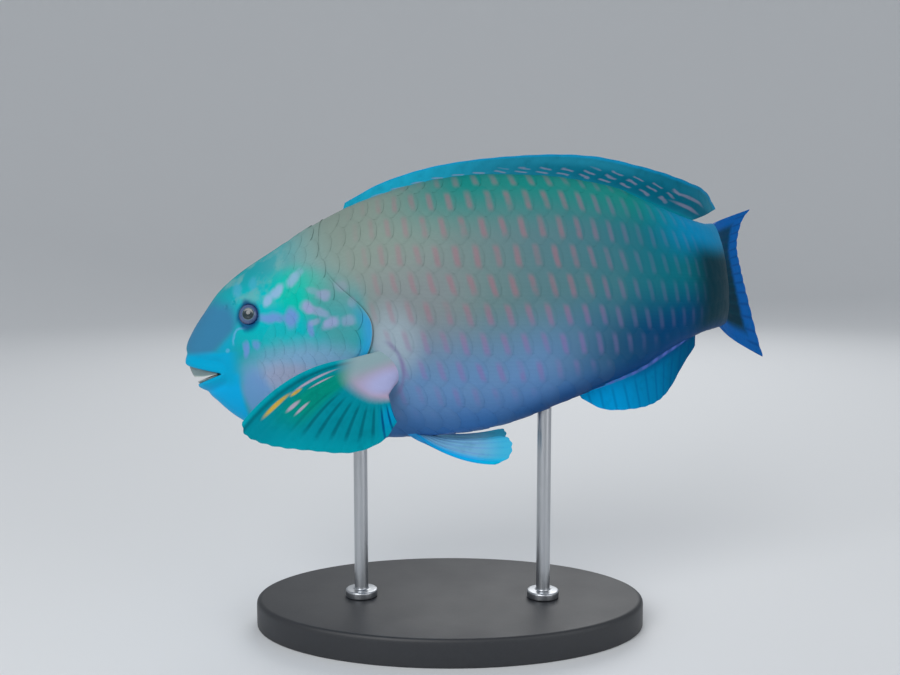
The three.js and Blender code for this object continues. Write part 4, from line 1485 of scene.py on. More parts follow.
    def head_marks(self, paint: Paint, spot: Wire) -> list[tuple[Wire, Colour]]:
        """The blotches behind the eye, the pale lines before it and the painted shade round it.

        Args:
            paint: the material.
            spot: place and height as a vector, with softly shifted borders.

        Returns:
            The layers of the marks.
        """
        blotches = (
            # middle, half length and half width, turn, strength and tone
            ((0.178, 0.063), (0.009, 0.0062), 70, 0.8, self.blotch_light),
            ((0.1945, 0.0755), (0.0145, 0.0072), 38, 0.85, self.blotch_light),
            ((0.2235, 0.0895), (0.0125, 0.0068), 45, 0.75, self.blotch_light),
            ((0.2345, 0.099), (0.008, 0.0062), 45, 0.4, self.blotch_light),
            ((0.1835, 0.0368), (0.023, 0.0076), -4, 0.8, self.blotch),
            ((0.2165, 0.0325), (0.0115, 0.0155), -4, 0.85, self.blotch),
            ((0.2465, 0.0455), (0.0115, 0.0085), -15, 0.85, self.blotch_pale),
            ((0.2625, 0.037), (0.0165, 0.0062), -28, 0.6, self.blotch_pale),
            ((0.274, 0.0615), (0.0098, 0.0076), 0, 0.75, self.blotch_pale),
            ((0.2575, 0.07), (0.011, 0.005), -25, 0.35, self.blotch_pale),
            ((0.2997, 0.071), (0.0105, 0.008), -30, 0.5, self.blotch_pale),
            ((0.2785, 0.0188), (0.0125, 0.0076), 25, 0.8, self.blotch_pale),
            ((0.2475, 0.0135), (0.0052, 0.0115), -4, 0.75, self.blotch),
            ((0.2545, 0.0225), (0.0085, 0.0042), 20, 0.55, self.blotch_pale),
            ((0.305, 0.0195), (0.0098, 0.0085), 0, 0.5, self.blotch_pale),
            ((0.3148, 0.046), (0.006, 0.0085), 0, 0.35, self.blotch_pale),
            ((0.133, -0.0083), (0.0056, 0.0125), -12, 0.75, self.blotch),
            ((0.1533, -0.0023), (0.0066, 0.0078), 0, 0.65, self.blotch),
            ((0.1025, -0.0072), (0.0036, 0.0036), 0, 0.7, self.pale_line),
            ((0.1229, 0.0835), (0.009, 0.0105), 10, 0.45, self.pale_line),
            ((0.151, 0.0915), (0.008, 0.0105), -10, 0.35, self.pale_line),
        )
        place, height = paint.numbers("place", "height")
        middle = (0.137, 0.004)
        ring = paint.spot(spot, middle, (0.0262, 0.0232), 0, 0.07)
        ring = ring * (1 - paint.spot(spot, middle, (0.0226, 0.0196), 0, 0.07))
        ring = ring * place.fall(0.132, 0.148) * height.rise(-0.002, 0.007)
        return [
            *((paint.spot(spot, centre, radii, angle, 0.5) * strength, tone)
              for centre, radii, angle, strength, tone in blotches),
            (ring * 0.85, self.pale_line),
            # painted shade round the eye
            (paint.spot(spot, (0.1432, 0.0432), (0.0194, 0.0232), 0, 0.26) * 0.86, self.orbit),
        ]

    def colour(self, paint: Paint) -> Wire:
        """The whole pattern: body with bars, head with marks, and painted shade in the mouth, in the gill
        slit and under the scales' free edges.

        Args:
            paint: the material.

        Returns:
            The colour.
        """
        place, height, flap = paint.numbers("place", "height", "flap")
        flat = paint.vector(place, height)
        spot = paint.wobbled(flat, 170, 0.012)
        # painted shadow in the soft crease behind the root of the pectoral fin
        root = (0.344, -0.062)
        axil_shadow = paint.spot(flat, root, (0.0295, 0.047), 0, 0.09)
        axil_shadow = axil_shadow * (1 - paint.spot(flat, root, (0.025, 0.041), 0, 0.12)) * place.rise(0.345, 0.365)
        body = paint.layers(self.body_colour(paint, flat), self.bars(paint), (axil_shadow * 0.6, self.bar_rear))
        head = paint.layers(self.head_colour(paint, spot), *self.head_marks(paint, spot))
        above = (place + height * 0.6).rise(0.265, 0.395) * height.rise(0.01, 0.09)
        beside = place.rise(0.318, 0.342) * height.fall(0.01, 0.09)
        strip = flap.rise(0.955, 0.995) * height.band(-0.07, 0.03, 0.02) * 0.8
        colour = paint.layers(head, (above + beside, body), (strip, self.gill_strip))
        if self.scaled:
            tip, tone = paint.numbers("tip", "tone")
            paler = (tone - 0.5).absolute() * place.fall(0.62, 0.86) * 0.14
            # painted shade along each scale's free edge
            return paint.layers(colour, (tip.rise(0.8, 1) * 0.05, self.mouth), (paler, self.front))
        # painted shade inside the mouth and in the fold under the gill cover
        inside, fold = paint.numbers("inside", "fold")
        return paint.layers(colour, (inside.most(fold.rise(0.3, 0.9) * 0.6), self.mouth))

    def material(self) -> bpy.types.Material:
        """A satin, faintly wet skin with fine pores, or scales with fine ribs.

        Returns:
            The material.
        """
        paint = Paint(self.name)
        place, row, tip = paint.numbers("place", "row", "tip")
        paint.set(Base_Color=self.colour(paint), Roughness=0.36 + paint.grain(160, 2) * 0.2,
                  Specular_IOR_Level=0.03, Coat_Weight=place.fall(0.5, 0.8) * 0.09, Coat_Roughness=0.22)
        if self.scaled:
            ribs = (row.part() * 44).math("SINE") * 0.5 * tip.rise(0.2, 0.6)
            paint.bump(paint.grain(2600, 2) * 0.6 + ribs * 0.4, 0.00006)
        else:
            paint.bump(paint.grain(1700, 2), 0.00009)
        return paint.material


@dataclass(frozen=True)
class EyeFinish:
    """A dark, glossy eye with a greyish-purple ring round its pupil."""

    pupil: Colour = srgb(16, 40, 46)
    inner: Colour = srgb(86, 114, 130)
    iris: Colour = srgb(66, 88, 132)
    outer: Colour = srgb(10, 34, 86)

    def material(self) -> bpy.types.Material:
        """Rings of colour by the angle from the eye's axis, crossed by fine spokes.

        Returns:
            The material.
        """
        paint = Paint("eye")
        ring, spin = paint.numbers("ring", "spin")
        spokes = paint.noise(paint.vector(spin * 9, ring * 3), 2.2)
        colour = paint.layers(
            self.pupil,
            (ring.rise(0.4, 0.44), self.inner),
            (ring.rise(0.44, 0.52), self.iris),
            (ring.rise(0.66, 0.8), self.outer),
            (spokes.rise(0.4, 0.7) * ring.rise(0.43, 0.48) * 0.5, self.outer),
        )
        paint.set(Base_Color=colour, Roughness=0.22 + spokes * 0.1, Coat_Weight=1.0,
                  Coat_Roughness=0.03, IOR=1.38)
        return paint.material


@dataclass(frozen=True)
class BeakFinish:
    """The fused teeth: pale grey-green with darker growth bands and a worn white edge."""

    enamel: Colour = srgb(112, 134, 136)
    stain: Colour = srgb(58, 84, 92)
    worn: Colour = srgb(196, 206, 198)

    def material(self) -> bpy.types.Material:
        """Bands run along the jaw, and small teeth show as cells near the cutting edge.

        Returns:
            The material.
        """
        paint = Paint("beak")
        down, around = paint.numbers("down", "around")
        bands = paint.noise(paint.vector(around * 6, down * 14), 1.6)
        stained = bands.rise(0.35, 0.7) * down.fall(0.2, 0.9) * 0.6
        colour = paint.layers(self.enamel, (stained, self.stain), (down.rise(0.8, 1.0) * 0.9, self.worn))
        paint.set(Base_Color=colour, Roughness=0.3 + bands * 0.2, Coat_Weight=0.2, Coat_Roughness=0.2)
        paint.bump(((around * 42).math("SINE") * 0.5 + 0.5) * down.rise(0.3, 0.9), 0.00012, 0.8)
        return paint.material


class FinPattern(Enum):
    """Which fin's markings a finish draws."""

    DORSAL = "dorsal"
    ANAL = "anal"
    CAUDAL = "caudal"
    PECTORAL = "pectoral"
    PELVIC = "pelvic"


class FinPlane(NamedTuple):
    """What a fin's markings read: the share across it, the share outwards and its rays."""

    paint: Paint
    across: Wire
    out: Wire
    ray: Wire

    def between(self, start: float, end: float) -> Wire:
        """1 midway between two rays and 0 on them."""
        return (self.ray.part() - 0.5).absolute().rise(start, end)

    def flat(self) -> Wire:
        """The shares across and outwards as a vector."""
        return self.paint.vector(self.across, self.out)


@dataclass(frozen=True)
class FinFinish:
    """The markings of a fin; each pattern has a method that takes the fin's plane."""

    pattern: FinPattern
    azure: Colour = srgb(0, 150, 212)
    margin: Colour = srgb(26, 158, 190)
    margin_rear: Colour = srgb(28, 124, 150)
    inner: Colour = srgb(0, 92, 116)
    anal_middle: Colour = srgb(0, 122, 172)
    anal_rear: Colour = srgb(0, 84, 126)
    blue: Colour = srgb(0, 96, 176)
    deep: Colour = srgb(0, 56, 120)
    teal: Colour = srgb(0, 130, 146)
    cyan_teal: Colour = srgb(0, 150, 166)
    dark_teal: Colour = srgb(0, 74, 88)
    green: Colour = srgb(0, 134, 118)
    # the dark inside of the tail fin: its own deep green and blue, darkened further as painted shade
    night: Colour = srgb(0, 50, 68)
    night_blue: Colour = srgb(0, 62, 96)
    pink: Colour = srgb(142, 134, 160)
    lavender: Colour = srgb(96, 118, 204)
    orange: Colour = srgb(206, 164, 40)
    rose: Colour = srgb(176, 158, 180)
    # pale pink of the fin's fleshy base, partly a painted highlight
    flesh: Colour = srgb(164, 168, 208)
    flesh_pink: Colour = srgb(164, 148, 172)
    shoulder: Colour = srgb(134, 160, 166)
    pale: Colour = srgb(112, 170, 204)
    light_blue: Colour = srgb(10, 166, 226)
    cyan: Colour = srgb(0, 176, 214)

    def dorsal(self, plane: FinPlane) -> Wire:
        """A broad blue-green margin, darker inside, with rows of thin pink dashes between the rays.

        Args:
            plane: what the markings read.

        Returns:
            The colour.
        """
        paint, across, out, ray = plane
        dash = plane.between(0.12, 0.28) * across.fall(0.84, 0.9) * 0.52
        lean = ((ray + 0.5).part() - 0.5) * 0.12
        uneven = (paint.noise(paint.vector(ray * 0.7, out * 3), 1.4, 2) - 0.5) * 0.16
        # level of each row, half its width, and where it starts and is full
        rows = ((0.24, 0.045, 0.02, 0.1), (0.41, 0.04, 0.36, 0.5), (0.56, 0.035, 0.6, 0.68))
        dashes = []
        for level, half, start, full in rows:
            stripe = (out - level + lean + uneven).absolute().fall(half * 0.3, half)
            dashes.append((stripe * across.rise(start, full) * dash, self.pink))
        return paint.layers(
            self.margin,
            (across.rise(0.12, 0.45), self.margin_rear),
            (across.band(0.7, 0.9, 0.1) * 0.6, self.inner),
            (out.band(0.1, 0.6, 0.15) * across.rise(0.3, 0.7) * 0.85, self.inner),
            (out.fall(0.02, 0.14) * across.rise(0.15, 0.4), self.teal),
            (out.rise(0.86, 0.95) * 0.45, self.azure),
            *dashes,
            *((paint.spot(plane.flat(), centre, (0.05, 0.04), -18, 0.5) * 0.6, self.pink)
              for centre in ((0.925, 0.3), (0.9, 0.55))),
        )

    def anal(self, plane: FinPlane) -> Wire:
        """Azure in front, deep teal at the tail end, with a thin lavender line along the base.

        Args:
            plane: what the markings read.

        Returns:
            The colour.
        """
        paint, across, out, _ = plane
        line = out.band(0.07, 0.15, 0.03) * (0.45 + plane.between(0.1, 0.4) * 0.5)
        return paint.layers(
            self.azure,
            (across.rise(0.15, 0.55), self.anal_middle),
            (across.rise(0.5, 0.95), self.anal_rear),
            (out.fall(0.12, 0.36) * across.rise(0.2, 0.6) * 0.55, self.deep),
            (plane.between(0.32, 0.5) * out.rise(0.15, 0.4) * 0.3, self.deep),
            (line * across.fall(0.8, 0.95), self.lavender),
        )

    def caudal(self, plane: FinPlane) -> Wire:
        """Dark green inside, darkened further as painted shade, framed in bright blue above, below and
        behind.

        Args:
            plane: what the markings read.

        Returns:
            The colour.
        """
        paint, across, out, _ = plane
        lines = plane.between(0.3, 0.5) * out.rise(0.1, 0.3)
        rear = out.rise(0.66, 0.8)
        # the dark inside is partly painted shade
        return paint.layers(
            self.night_blue,
            (across.rise(0.15, 0.6), self.night),
            (lines * 0.25, self.dark_teal),
            ((across - 0.5).absolute().rise(0.36, 0.44).most(rear), self.blue),
            (lines * rear * 0.5, self.deep),
        )

    def pectoral(self, plane: FinPlane) -> Wire:
        """A fleshy pale base partly lit by a painted highlight, teal blade, a streak from pink to orange
        along the leading rays.

        Args:
            plane: what the markings read.

        Returns:
            The colour.
        """
        paint, across, out, _ = plane
        flat = plane.flat()
        lines = plane.between(0.26, 0.46) * out.band(0.42, 0.84, 0.08) * across.rise(0.3, 0.4)
        rear_lines = plane.between(0.3, 0.48) * across.rise(0.78, 0.88) * out.rise(0.4, 0.6)
        # middle, half width and half length, turn and tone
        streaks = (
            ((0.125, 0.46), (0.013, 0.15), -3, self.rose), ((0.128, 0.75), (0.019, 0.1), -2, self.orange),
            ((0.15, 0.6), (0.014, 0.04), 0, self.orange), ((0.19, 0.42), (0.009, 0.08), 0, self.rose),
            ((0.235, 0.68), (0.016, 0.055), 0, self.rose), ((0.3, 0.66), (0.011, 0.065), 0, self.rose),
        )
        base = paint.layers(
            self.shoulder,
            (across.rise(0.15, 0.6), self.flesh_pink),
            # pale fleshy spot on the lobe, partly a painted highlight
            (paint.spot(flat, (0.75, 0.1), (0.28, 0.12), 0, 0.6), self.flesh),
        )
        return paint.layers(
            self.teal,
            (across.band(0.17, 0.4, 0.06) * out.fall(0.6, 0.95), self.green),
            (across.fall(0.02, 0.07), self.cyan_teal),
            (across.band(0.05, 0.085, 0.02) * 0.6, self.dark_teal),
            (across.rise(0.8, 0.95) * out.rise(0.3, 0.6) * 0.6, self.azure),
            (across.rise(0.2, 0.4) * out.rise(0.75, 1) * 0.6, self.cyan_teal),
            (lines * 0.6, self.dark_teal),
            (rear_lines * 0.7, self.deep),
            *((paint.spot(flat, centre, radii, angle, 0.45) * 0.85, tone)
              for centre, radii, angle, tone in streaks),
            ((out + across * -0.1).fall(0.14, 0.3), base),
        )

    def pelvic(self, plane: FinPlane) -> Wire:
        """Pale grey-blue with a light-blue front edge and a cyan tip.

        Args:
            plane: what the markings read.

        Returns:
            The colour.
        """
        paint, across, out, _ = plane
        return paint.layers(
            self.pale,
            (across.fall(0.1, 0.3), self.light_blue),
            (plane.between(0.3, 0.5) * 0.3, self.lavender),
            (out.rise(0.6, 0.95) * 0.7, self.cyan),
        )

    def material(self) -> bpy.types.Material:
        """A thin satin fin with fine cross lines on its rays.

        Returns:
            The material.
        """
        paint = Paint(f"fin_{self.pattern.value}")
        plane = FinPlane(paint, *paint.numbers("across", "out", "ray"))
        grain = paint.grain(240, 2)
        worn = grain.rise(0.5, 0.8) * 0.2 * plane.out.rise(0.2, 0.4)
        colour = paint.layers(getattr(self, self.pattern.value)(plane), (worn, self.dark_teal))
        paint.set(Base_Color=colour, Roughness=0.4 + grain * 0.2, Specular_IOR_Level=0.02)
        joints = (plane.out * 150).math("SINE") * plane.between(0.3, 0.42) * plane.out.rise(0.4, 0.6)
        paint.bump(joints * 0.5 + paint.grain(1500, 2), 0.00006)
        return paint.material


@dataclass(frozen=True)
class StandFinish:
    """What the stand is made of: satin black paint with a fine grain, or brushed steel."""

    name: str
    tone: Colour
    light: Colour
    metallic: float
    roughness: float
    grain: tuple[float, float, float]
    depth: float

    def material(self) -> bpy.types.Material:
        """A tone broken up by noise that is stretched along the grain.

        Returns:
            The material.
        """
        paint = Paint(self.name)
        mapped = paint.wire("ShaderNodeMapping", None, {"Vector": paint.place(), "Scale": self.grain})
        grain = paint.noise(mapped, 1.0, 4)
        paint.set(Base_Color=paint.layers(self.tone, (grain, self.light)), Metallic=self.metallic,
                  Roughness=self.roughness + paint.grain(60, 2) * 0.12)
        paint.bump(grain, self.depth, 0.6)
        return paint.material


@dataclass
class Eye:
    """An eyeball set into its socket, with its pupil sunk under a low dome."""

    form: BodyForm
    relief: HeadRelief
    radius: float = 5.8 * MM
    depth: float = 4.0 * MM
    pupil: float = 0.42
    dish: float = 0.16 * MM
    look: tuple[float, float, float] = (0.3, 1.0, 1.0)
    dome: float = 0.28 * MM
    dome_width: float = 0.7
    sides: int = 72
    bends: int = 56

    def surface(self, right: bool) -> Surface:
        """A sphere whose front is drawn out a little, turned to look out of the head, less forwards.

        The radius is r + dome * bell(angle) less a shallow dish inside the pupil.

        Args:
            right: whether it is the right eye.

        Returns:
            The closed ball with its ring angle and spin.
        """
        angle = np.concatenate([[0], np.linspace(0, 1, self.bends)[1:-1] ** 1.25, [1]]) * math.pi
        dish = self.dish * (1 - smooth(angle, self.pupil * 0.7, self.pupil))
        radius = self.radius + self.dome * bell(angle, self.dome_width) - dish
        profile = np.stack([radius * np.sin(angle), radius * np.cos(angle) - self.depth], -1)[::-1]
        profile[[0, -1], 0] = 0
        made = lathe(profile, self.sides)
        place, height = self.relief.eye
        turn = on_side(self.form.turn_at_height(place, height), right)
        outward = unit(self.form.normal(place, turn) * np.array(self.look))
        upright = unit(np.array([0.0, 0, 1]) - outward * outward[2])
        axes = np.stack([np.cross(upright, outward), upright, outward])
        made.values["ring"] = np.concatenate([np.repeat(angle[::-1][1:-1], self.sides), [math.pi, 0]])
        made.points = made.points @ axes + self.form.surface(place, turn)
        return made.outward()

    def build(self, finish: EyeFinish) -> Pieces:
        """Makes both eyes."""
        return [
            self.surface(right).piece(f"eyeball_{side}", finish.material(), "eye", f"eye_{side}")
            for side, right in SIDES
        ]


@dataclass
class Beak:
    """The two tooth plates: each is a curved band round its jaw, from the gum to the cutting edge."""

    form: BodyForm
    relief: HeadRelief
    inset: float = 0.7 * MM
    wall: float = 1.5 * MM
    gum: float = 0.35 * MM
    rear: float = 0.072
    columns: int = 121
    levels: int = 16
    # a first place for the search along the jaw, and its rounds
    first_place: float = 0.03
    rounds: int = 8
    # how much the front stands out at the cutting edge, and how far round the jaw it does so
    stand_out: float = 0.35
    front_share: float = 0.45
    # place and height along each cutting edge
    upper_edge: Rows = ((-0.03, -0.0455), (0.045, -0.0455), (0.066, -0.0435), (0.08, -0.0425))
    lower_edge: Rows = ((-0.03, -0.0655), (0.025, -0.054), (0.066, -0.0455), (0.08, -0.0428))

    def front(self, height: Array) -> Array:
        """The place at which the snout's profile reaches a height."""
        place = np.linspace(self.form.snout_place, 0.1, 400)
        return np.interp(-np.minimum(height, -0.0125), -self.form.edge(place, False), place)

    def face(self, upper: bool, deep: float) -> tuple[Array, Array, Array]:
        """One face of a plate, at some depth under the skin.

        Across, the place goes back from the front as the square of the share to each side. Down,
        the height goes straight from the lip to the cutting edge.

        Args:
            upper: which jaw.
            deep: metres under the skin's surface.

        Returns:
            Points, the share down and the share round the jaw.
        """
        around, down = np.meshgrid(np.linspace(-1, 1, self.columns), np.linspace(0, 1, self.levels))
        edge = np.array(self.upper_edge if upper else self.lower_edge).T
        gum_depth = (self.gum if upper else -self.gum) / self.form.length
        place = np.full(down.shape, self.first_place)
        for _ in range(self.rounds):
            level = mix(self.relief.lip_line(place, upper) + gum_depth, np.interp(place, *edge), down)
            place = mix(self.front(level), self.rear, around**2)
        half = self.form.spot(place, self.form.turn_at_height(place, level))[0]
        side = np.abs(around)
        sunk = deep * (1 - self.stand_out * down * (1 - side)) / self.form.length
        push = sunk * (1 - smooth(side, 0, self.front_share))
        left = np.maximum(half - sunk, 0) * np.sign(around)
        return self.form.to_world(place + push, left, level), down, around

    def surface(self, upper: bool) -> Surface:
        """A plate from its outer and inner faces.

        Args:
            upper: which jaw.

        Returns:
            The closed plate with its shares down and around.
        """
        outer, down, around = self.face(upper, self.inset)
        made = slab(outer, self.face(upper, self.inset + self.wall)[0])
        made.values = {"down": np.tile(down.ravel(), 2), "around": np.tile(around.ravel(), 2)}
        return made

    def build(self, finish: BeakFinish) -> Pieces:
        """Makes both plates."""
        made = []
        for jaw, upper in (("upper", True), ("lower", False)):
            plate = self.surface(upper)
            made.append(plate.piece(f"tooth_plate_{jaw}", finish.material(), "beak", f"beak_{jaw}", sharp=45))
        return made


Middle = Callable[[Array, Array], Array]


@dataclass
class RayFin:
    """A fin of rays and membrane: what all fins share."""

    form: BodyForm
    rays: int
    steps: int = 48
    per_ray: int = 8
    membrane: float = 0.26 * MM
    ray_raise: float = 0.26 * MM
    ray_width: float = 0.17
    # where the rays fork, and over which stretch and how far they part there
    forks: Rows = ((0.45, 0.35, 0.16), (0.72, 0.25, 0.09))
    # where the rays start and over how much they rise, and how much they thin and sink till the tip
    ray_start: float = 0.0
    ray_rise: float = 0.12
    ray_thinning: float = 0.45
    ray_sinking: float = 0.55
    membrane_thinning: float = 0.6
    notch: float = 0.012

    def grid(self) -> tuple[Array, Array, Array]:
        """Shares outwards and across, and the count of rays, over the fin's grid.

        Returns:
            Rows of the share out, columns of the share across, and columns of the ray's number.
        """
        ray = np.linspace(-0.5, self.rays - 0.5, self.rays * self.per_ray + 1)[None, :]
        across = np.clip(ray / (self.rays - 1), 0, 1)
        return np.linspace(0, 1, self.steps)[:, None], mix(across, (ray + 0.5) / self.rays, 0.5), ray

    def ridge(self, out: Array, ray: Array) -> Array:
        """How far the rays stand out: bells over each ray, which forks twice on its way out.

        Past each fork the bells part in proportion to the distance from it.

        Args:
            out: share outwards.
            ray: number of the ray, whole on its middle.

        Returns:
            A height from 0 to 1.
        """
        off = ray - np.round(ray)
        first, second = (apart * smooth(out, start, start + run) for start, run, apart in self.forks)
        width = self.ray_width * (1 - self.ray_thinning * smooth(out, self.forks[0][0], 1))
        centres = [a * first + b * second for a in (-1, 1) for b in (-1, 1)]
        stand = np.max([bell(off - centre, width) for centre in centres], axis=0)
        risen = smooth(out, self.ray_start, self.ray_start + self.ray_rise)
        return stand * risen * (1 - self.ray_sinking * out)

    def thickness(self, out: Array, ray: Array, root: float, reach: float) -> Array:
        """Half the fin's thickness in metres: flesh from the root to a reach, membrane and ridges."""
        flesh = (root - self.membrane) * (1 - smooth(out, 0, reach))
        sheet = flesh + self.membrane * (1 - self.membrane_thinning * out)
        return sheet + self.ray_raise * self.ridge(out, ray)

    def reach(self, out: Array, ray: Array) -> Array:
        """The share outwards with the margin drawn in a little between the rays."""
        between = 0.5 - 0.5 * np.cos(2 * math.pi * (ray - np.round(ray)))
        return out * (1 - self.notch * between * smooth(out, 0.5, 1))

    def both_faces(self, middle: Middle, half: Array, reach: Array, across: Array) -> list[Array]:
        """Lays both faces of the fin beside its middle surface.

        The faces lie half the thickness away along the normal, the step across crossed with the
        step outwards.

        Args:
            middle: gives the points of the middle surface from the shares across and outwards.
            half: half the thickness.
            reach: share outwards.
            across: share across.

        Returns:
            The points of each face.
        """
        small = 0.01
        along = middle(across + small, reach) - middle(across - small, reach)
        outward = middle(across, reach + small) - middle(across, reach - small)
        offset = unit(np.cross(along, outward)) * half[..., None]
        points = middle(across, reach)
        return [points + offset, points - offset]

    def closed(self, faces: list[Array]) -> Surface:
        """Joins both faces and keeps the shares and the ray's number on them for the markings.

        Args:
            faces: the points of each face.

        Returns:
            The closed fin.
        """
        made = slab(*faces)
        out, across, ray = self.grid()
        for key, numbers in (("out", out), ("across", across), ("ray", ray + 0.5)):
            made.values[key] = np.tile(np.broadcast_to(numbers, faces[0].shape[:2]).ravel(), 2)
        return made

    def sheet(self, middle: Middle, root: float, reach: float = 0.3) -> Surface:
        """The whole fin round its middle surface.

        Args:
            middle: gives the points of the middle surface from the shares across and outwards.
            root: half thickness at the root.
            reach: share outwards at which the root's flesh has run out.

        Returns:
            The closed fin.
        """
        out, across, ray = self.grid()
        half = self.thickness(out, ray, root, reach)
        return self.closed(self.both_faces(middle, half, self.reach(out, ray), across))

    def piece(self, made: Surface, name: str, dress: FinFinish, side: str = "",
              slot: str = "fin") -> bpy.types.Object:
        """Makes the finished piece, which stands for the plain fin of the same name."""
        return made.piece(f"{name}_rays{side}", dress.material(), slot, f"{name}_fin{side}", sharp=60)


@dataclass
class MiddleFin(RayFin):
    """The dorsal or the anal fin, which stands in the body's middle plane."""

    back: bool = True
    root_half: float = 1.1 * MM
    sunk: float = 1.6 * MM
    # share across, place of the base, place of the tip, height of the tip
    spread: Rows = ()

    def build(self, dress: FinFinish) -> Pieces:
        """Runs each ray straight from its base, sunk into the body, to its tip.

        Args:
            dress: the fin's finish.

        Returns:
            The fin.
        """
        base, tip, level = Curve.each(self.spread)
        sunk = (self.sunk if self.back else -self.sunk) / self.form.length

        def middle(share: Array, reach: Array) -> Array:
            """A point of the middle plane."""
            root = base(share)
            edge = self.form.edge(root, self.back) - sunk
            return self.form.to_world(mix(root, tip(share), reach), 0, mix(edge, level(share), reach))

        return [self.piece(self.sheet(middle, self.root_half), dress.pattern.value, dress)]


DORSAL_SPREAD: Rows = (
    (0, 0.3, 0.306, 0.197), (0.1, 0.358, 0.372, 0.2205), (0.25, 0.446, 0.468, 0.2345),
    (0.45, 0.563, 0.6, 0.2315), (0.6, 0.651, 0.706, 0.217), (0.72, 0.721, 0.8, 0.1885),
    (0.84, 0.792, 0.9, 0.158), (0.93, 0.844, 1.005, 0.132), (1, 0.885, 1.06, 0.104),
)
ANAL_SPREAD: Rows = (
    (0, 0.632, 0.638, -0.163), (0.15, 0.668, 0.672, -0.186), (0.35, 0.715, 0.722, -0.1945),
    (0.55, 0.763, 0.762, -0.192), (0.75, 0.811, 0.793, -0.176), (0.9, 0.847, 0.832, -0.139),
    (1, 0.871, 0.866, -0.115),
)


@dataclass
class TailFin(RayFin):
    """The caudal fin, fleshy at its root and hollow at its rear edge."""

    start: float = 0.985
    root_half: float = 1.0 * MM
    flesh_reach: float = 0.4
    # how far the outer rays stay inside the tail's root
    inset: float = 0.03
    # share across, place of the tip, height of the tip
    spread: Rows = (
        (0, 1.25, 0.092), (0.1, 1.2, 0.073), (0.3, 1.158, 0.03), (0.5, 1.165, -0.015),
        (0.7, 1.185, -0.073), (0.9, 1.215, -0.155), (1, 1.236, -0.2),
    )

    def build(self, dress: FinFinish) -> Pieces:
        """Spreads the rays from the root of the tail, out to the power 0.95 in height.

        Args:
            dress: the fin's finish.

        Returns:
            The fin.
        """
        tip, level = Curve.each(self.spread)
        back, belly = self.form.edge(1.0, True), self.form.edge(1.0, False)

        def middle(share: Array, reach: Array) -> Array:
            """A point of the middle surface, which bends with the body line."""
            root = mix(back, belly, self.inset + (1 - 2 * self.inset) * share)
            height = mix(root, level(share), np.maximum(reach, 0) ** 0.95)
            return self.form.to_world(mix(self.start, tip(share), reach), 0, height)

        made = self.sheet(middle, self.root_half, self.flesh_reach)
        return [self.piece(made, dress.pattern.value, dress, slot="tail_fin")]


@dataclass
class PectoralFin(RayFin):
    """The pectoral fin: a fleshy lobe on the flank that carries a fan of rays."""

    lobe: float = 0.2
    lobe_end: float = 0.42
    lobe_half: float = 1.6 * MM
    root_spread: float = 0.011
    root_sunk: float = 1.2 * MM
    # how far the rays bow upwards, how much of that goes outwards, and how it fades across
    bow: float = 0.02
    bow_out: float = 0.3
    bow_fade: float = 1.2
    # share across, place and height of the root
    roots: Rows = ((0, 0.346, -0.032), (0.5, 0.356, -0.058), (1, 0.357, -0.086))
    # share across, place, distance to the side and height of the base of the rays
    knuckles: Rows = (
        (0, 0.302, 0.107, -0.036), (0.35, 0.302, 0.112, -0.066),
        (0.7, 0.325, 0.114, -0.089), (1, 0.35, 0.113, -0.096),
    )
    # share across, place, distance to the side and height of the tips
    tips: Rows = (
        (0, 0.156, 0.182, -0.102), (0.12, 0.16, 0.184, -0.121), (0.3, 0.193, 0.181, -0.14),
        (0.5, 0.245, 0.172, -0.155), (0.7, 0.3, 0.16, -0.167), (0.85, 0.338, 0.144, -0.158),
        (1, 0.358, 0.124, -0.135),
    )

    def fan(self, share: Array, out: Array, flip: int) -> Array:
        """A point of the fan's middle surface, bowed upwards between knuckles and tips.

        Args:
            share: share across.
            out: share outwards, at least the lobe's.
            flip: 1 for the left fin, -1 for the right one.

        Returns:
            Points in metres.
        """
        reach = (out - self.lobe) / (1 - self.lobe)
        ends = zip(Curve.each(self.knuckles), Curve.each(self.tips))
        place, left, height = (mix(near(share), far(share), reach) for near, far in ends)
        bow = self.bow * 4 * reach * (1 - reach)
        side = flip * (left + self.bow_out * bow)
        return self.form.to_world(place, side, height + bow * (1 - self.bow_fade * share))

    def surface(self, right: bool) -> Surface:
        """Joins the lobe, from its root on the skin, to the fan.

        Args:
            right: whether it is the right fin.

        Returns:
            The closed fin.
        """
        out, across, ray = self.grid()
        edge = np.sqrt(np.clip(1 - (2 * across - 1) ** 2, 0, 1))
        flesh = (self.lobe_half - self.membrane) * edge * (1 - smooth(out, self.lobe, self.lobe_end))
        half = self.thickness(out, ray, self.membrane, 1) + flesh
        reach = np.maximum(self.reach(out, ray), self.lobe)
        flip = -1 if right else 1
        faces = self.both_faces(lambda share, run: self.fan(share, run, flip), half, reach, across)
        root_place, root_height = (root(across) for root in Curve.each(self.roots))
        in_lobe, share = (out < self.lobe)[..., None], (out / self.lobe)[..., None]
        for number, side in enumerate((-1, 1)):
            place = root_place + side * edge * self.root_spread
            turn = on_side(self.form.turn_at_height(place, root_height), right)
            start = self.form.lifted(place, turn, np.full(place.shape, -self.root_sunk))
            faces[number] = np.where(in_lobe, mix(start, faces[number], share), faces[number])
        return self.closed(faces)

    def build(self, dress: FinFinish) -> Pieces:
        """Makes both pectoral fins."""
        return [self.piece(self.surface(right), "pectoral", dress, f"_{side}") for side, right in SIDES]


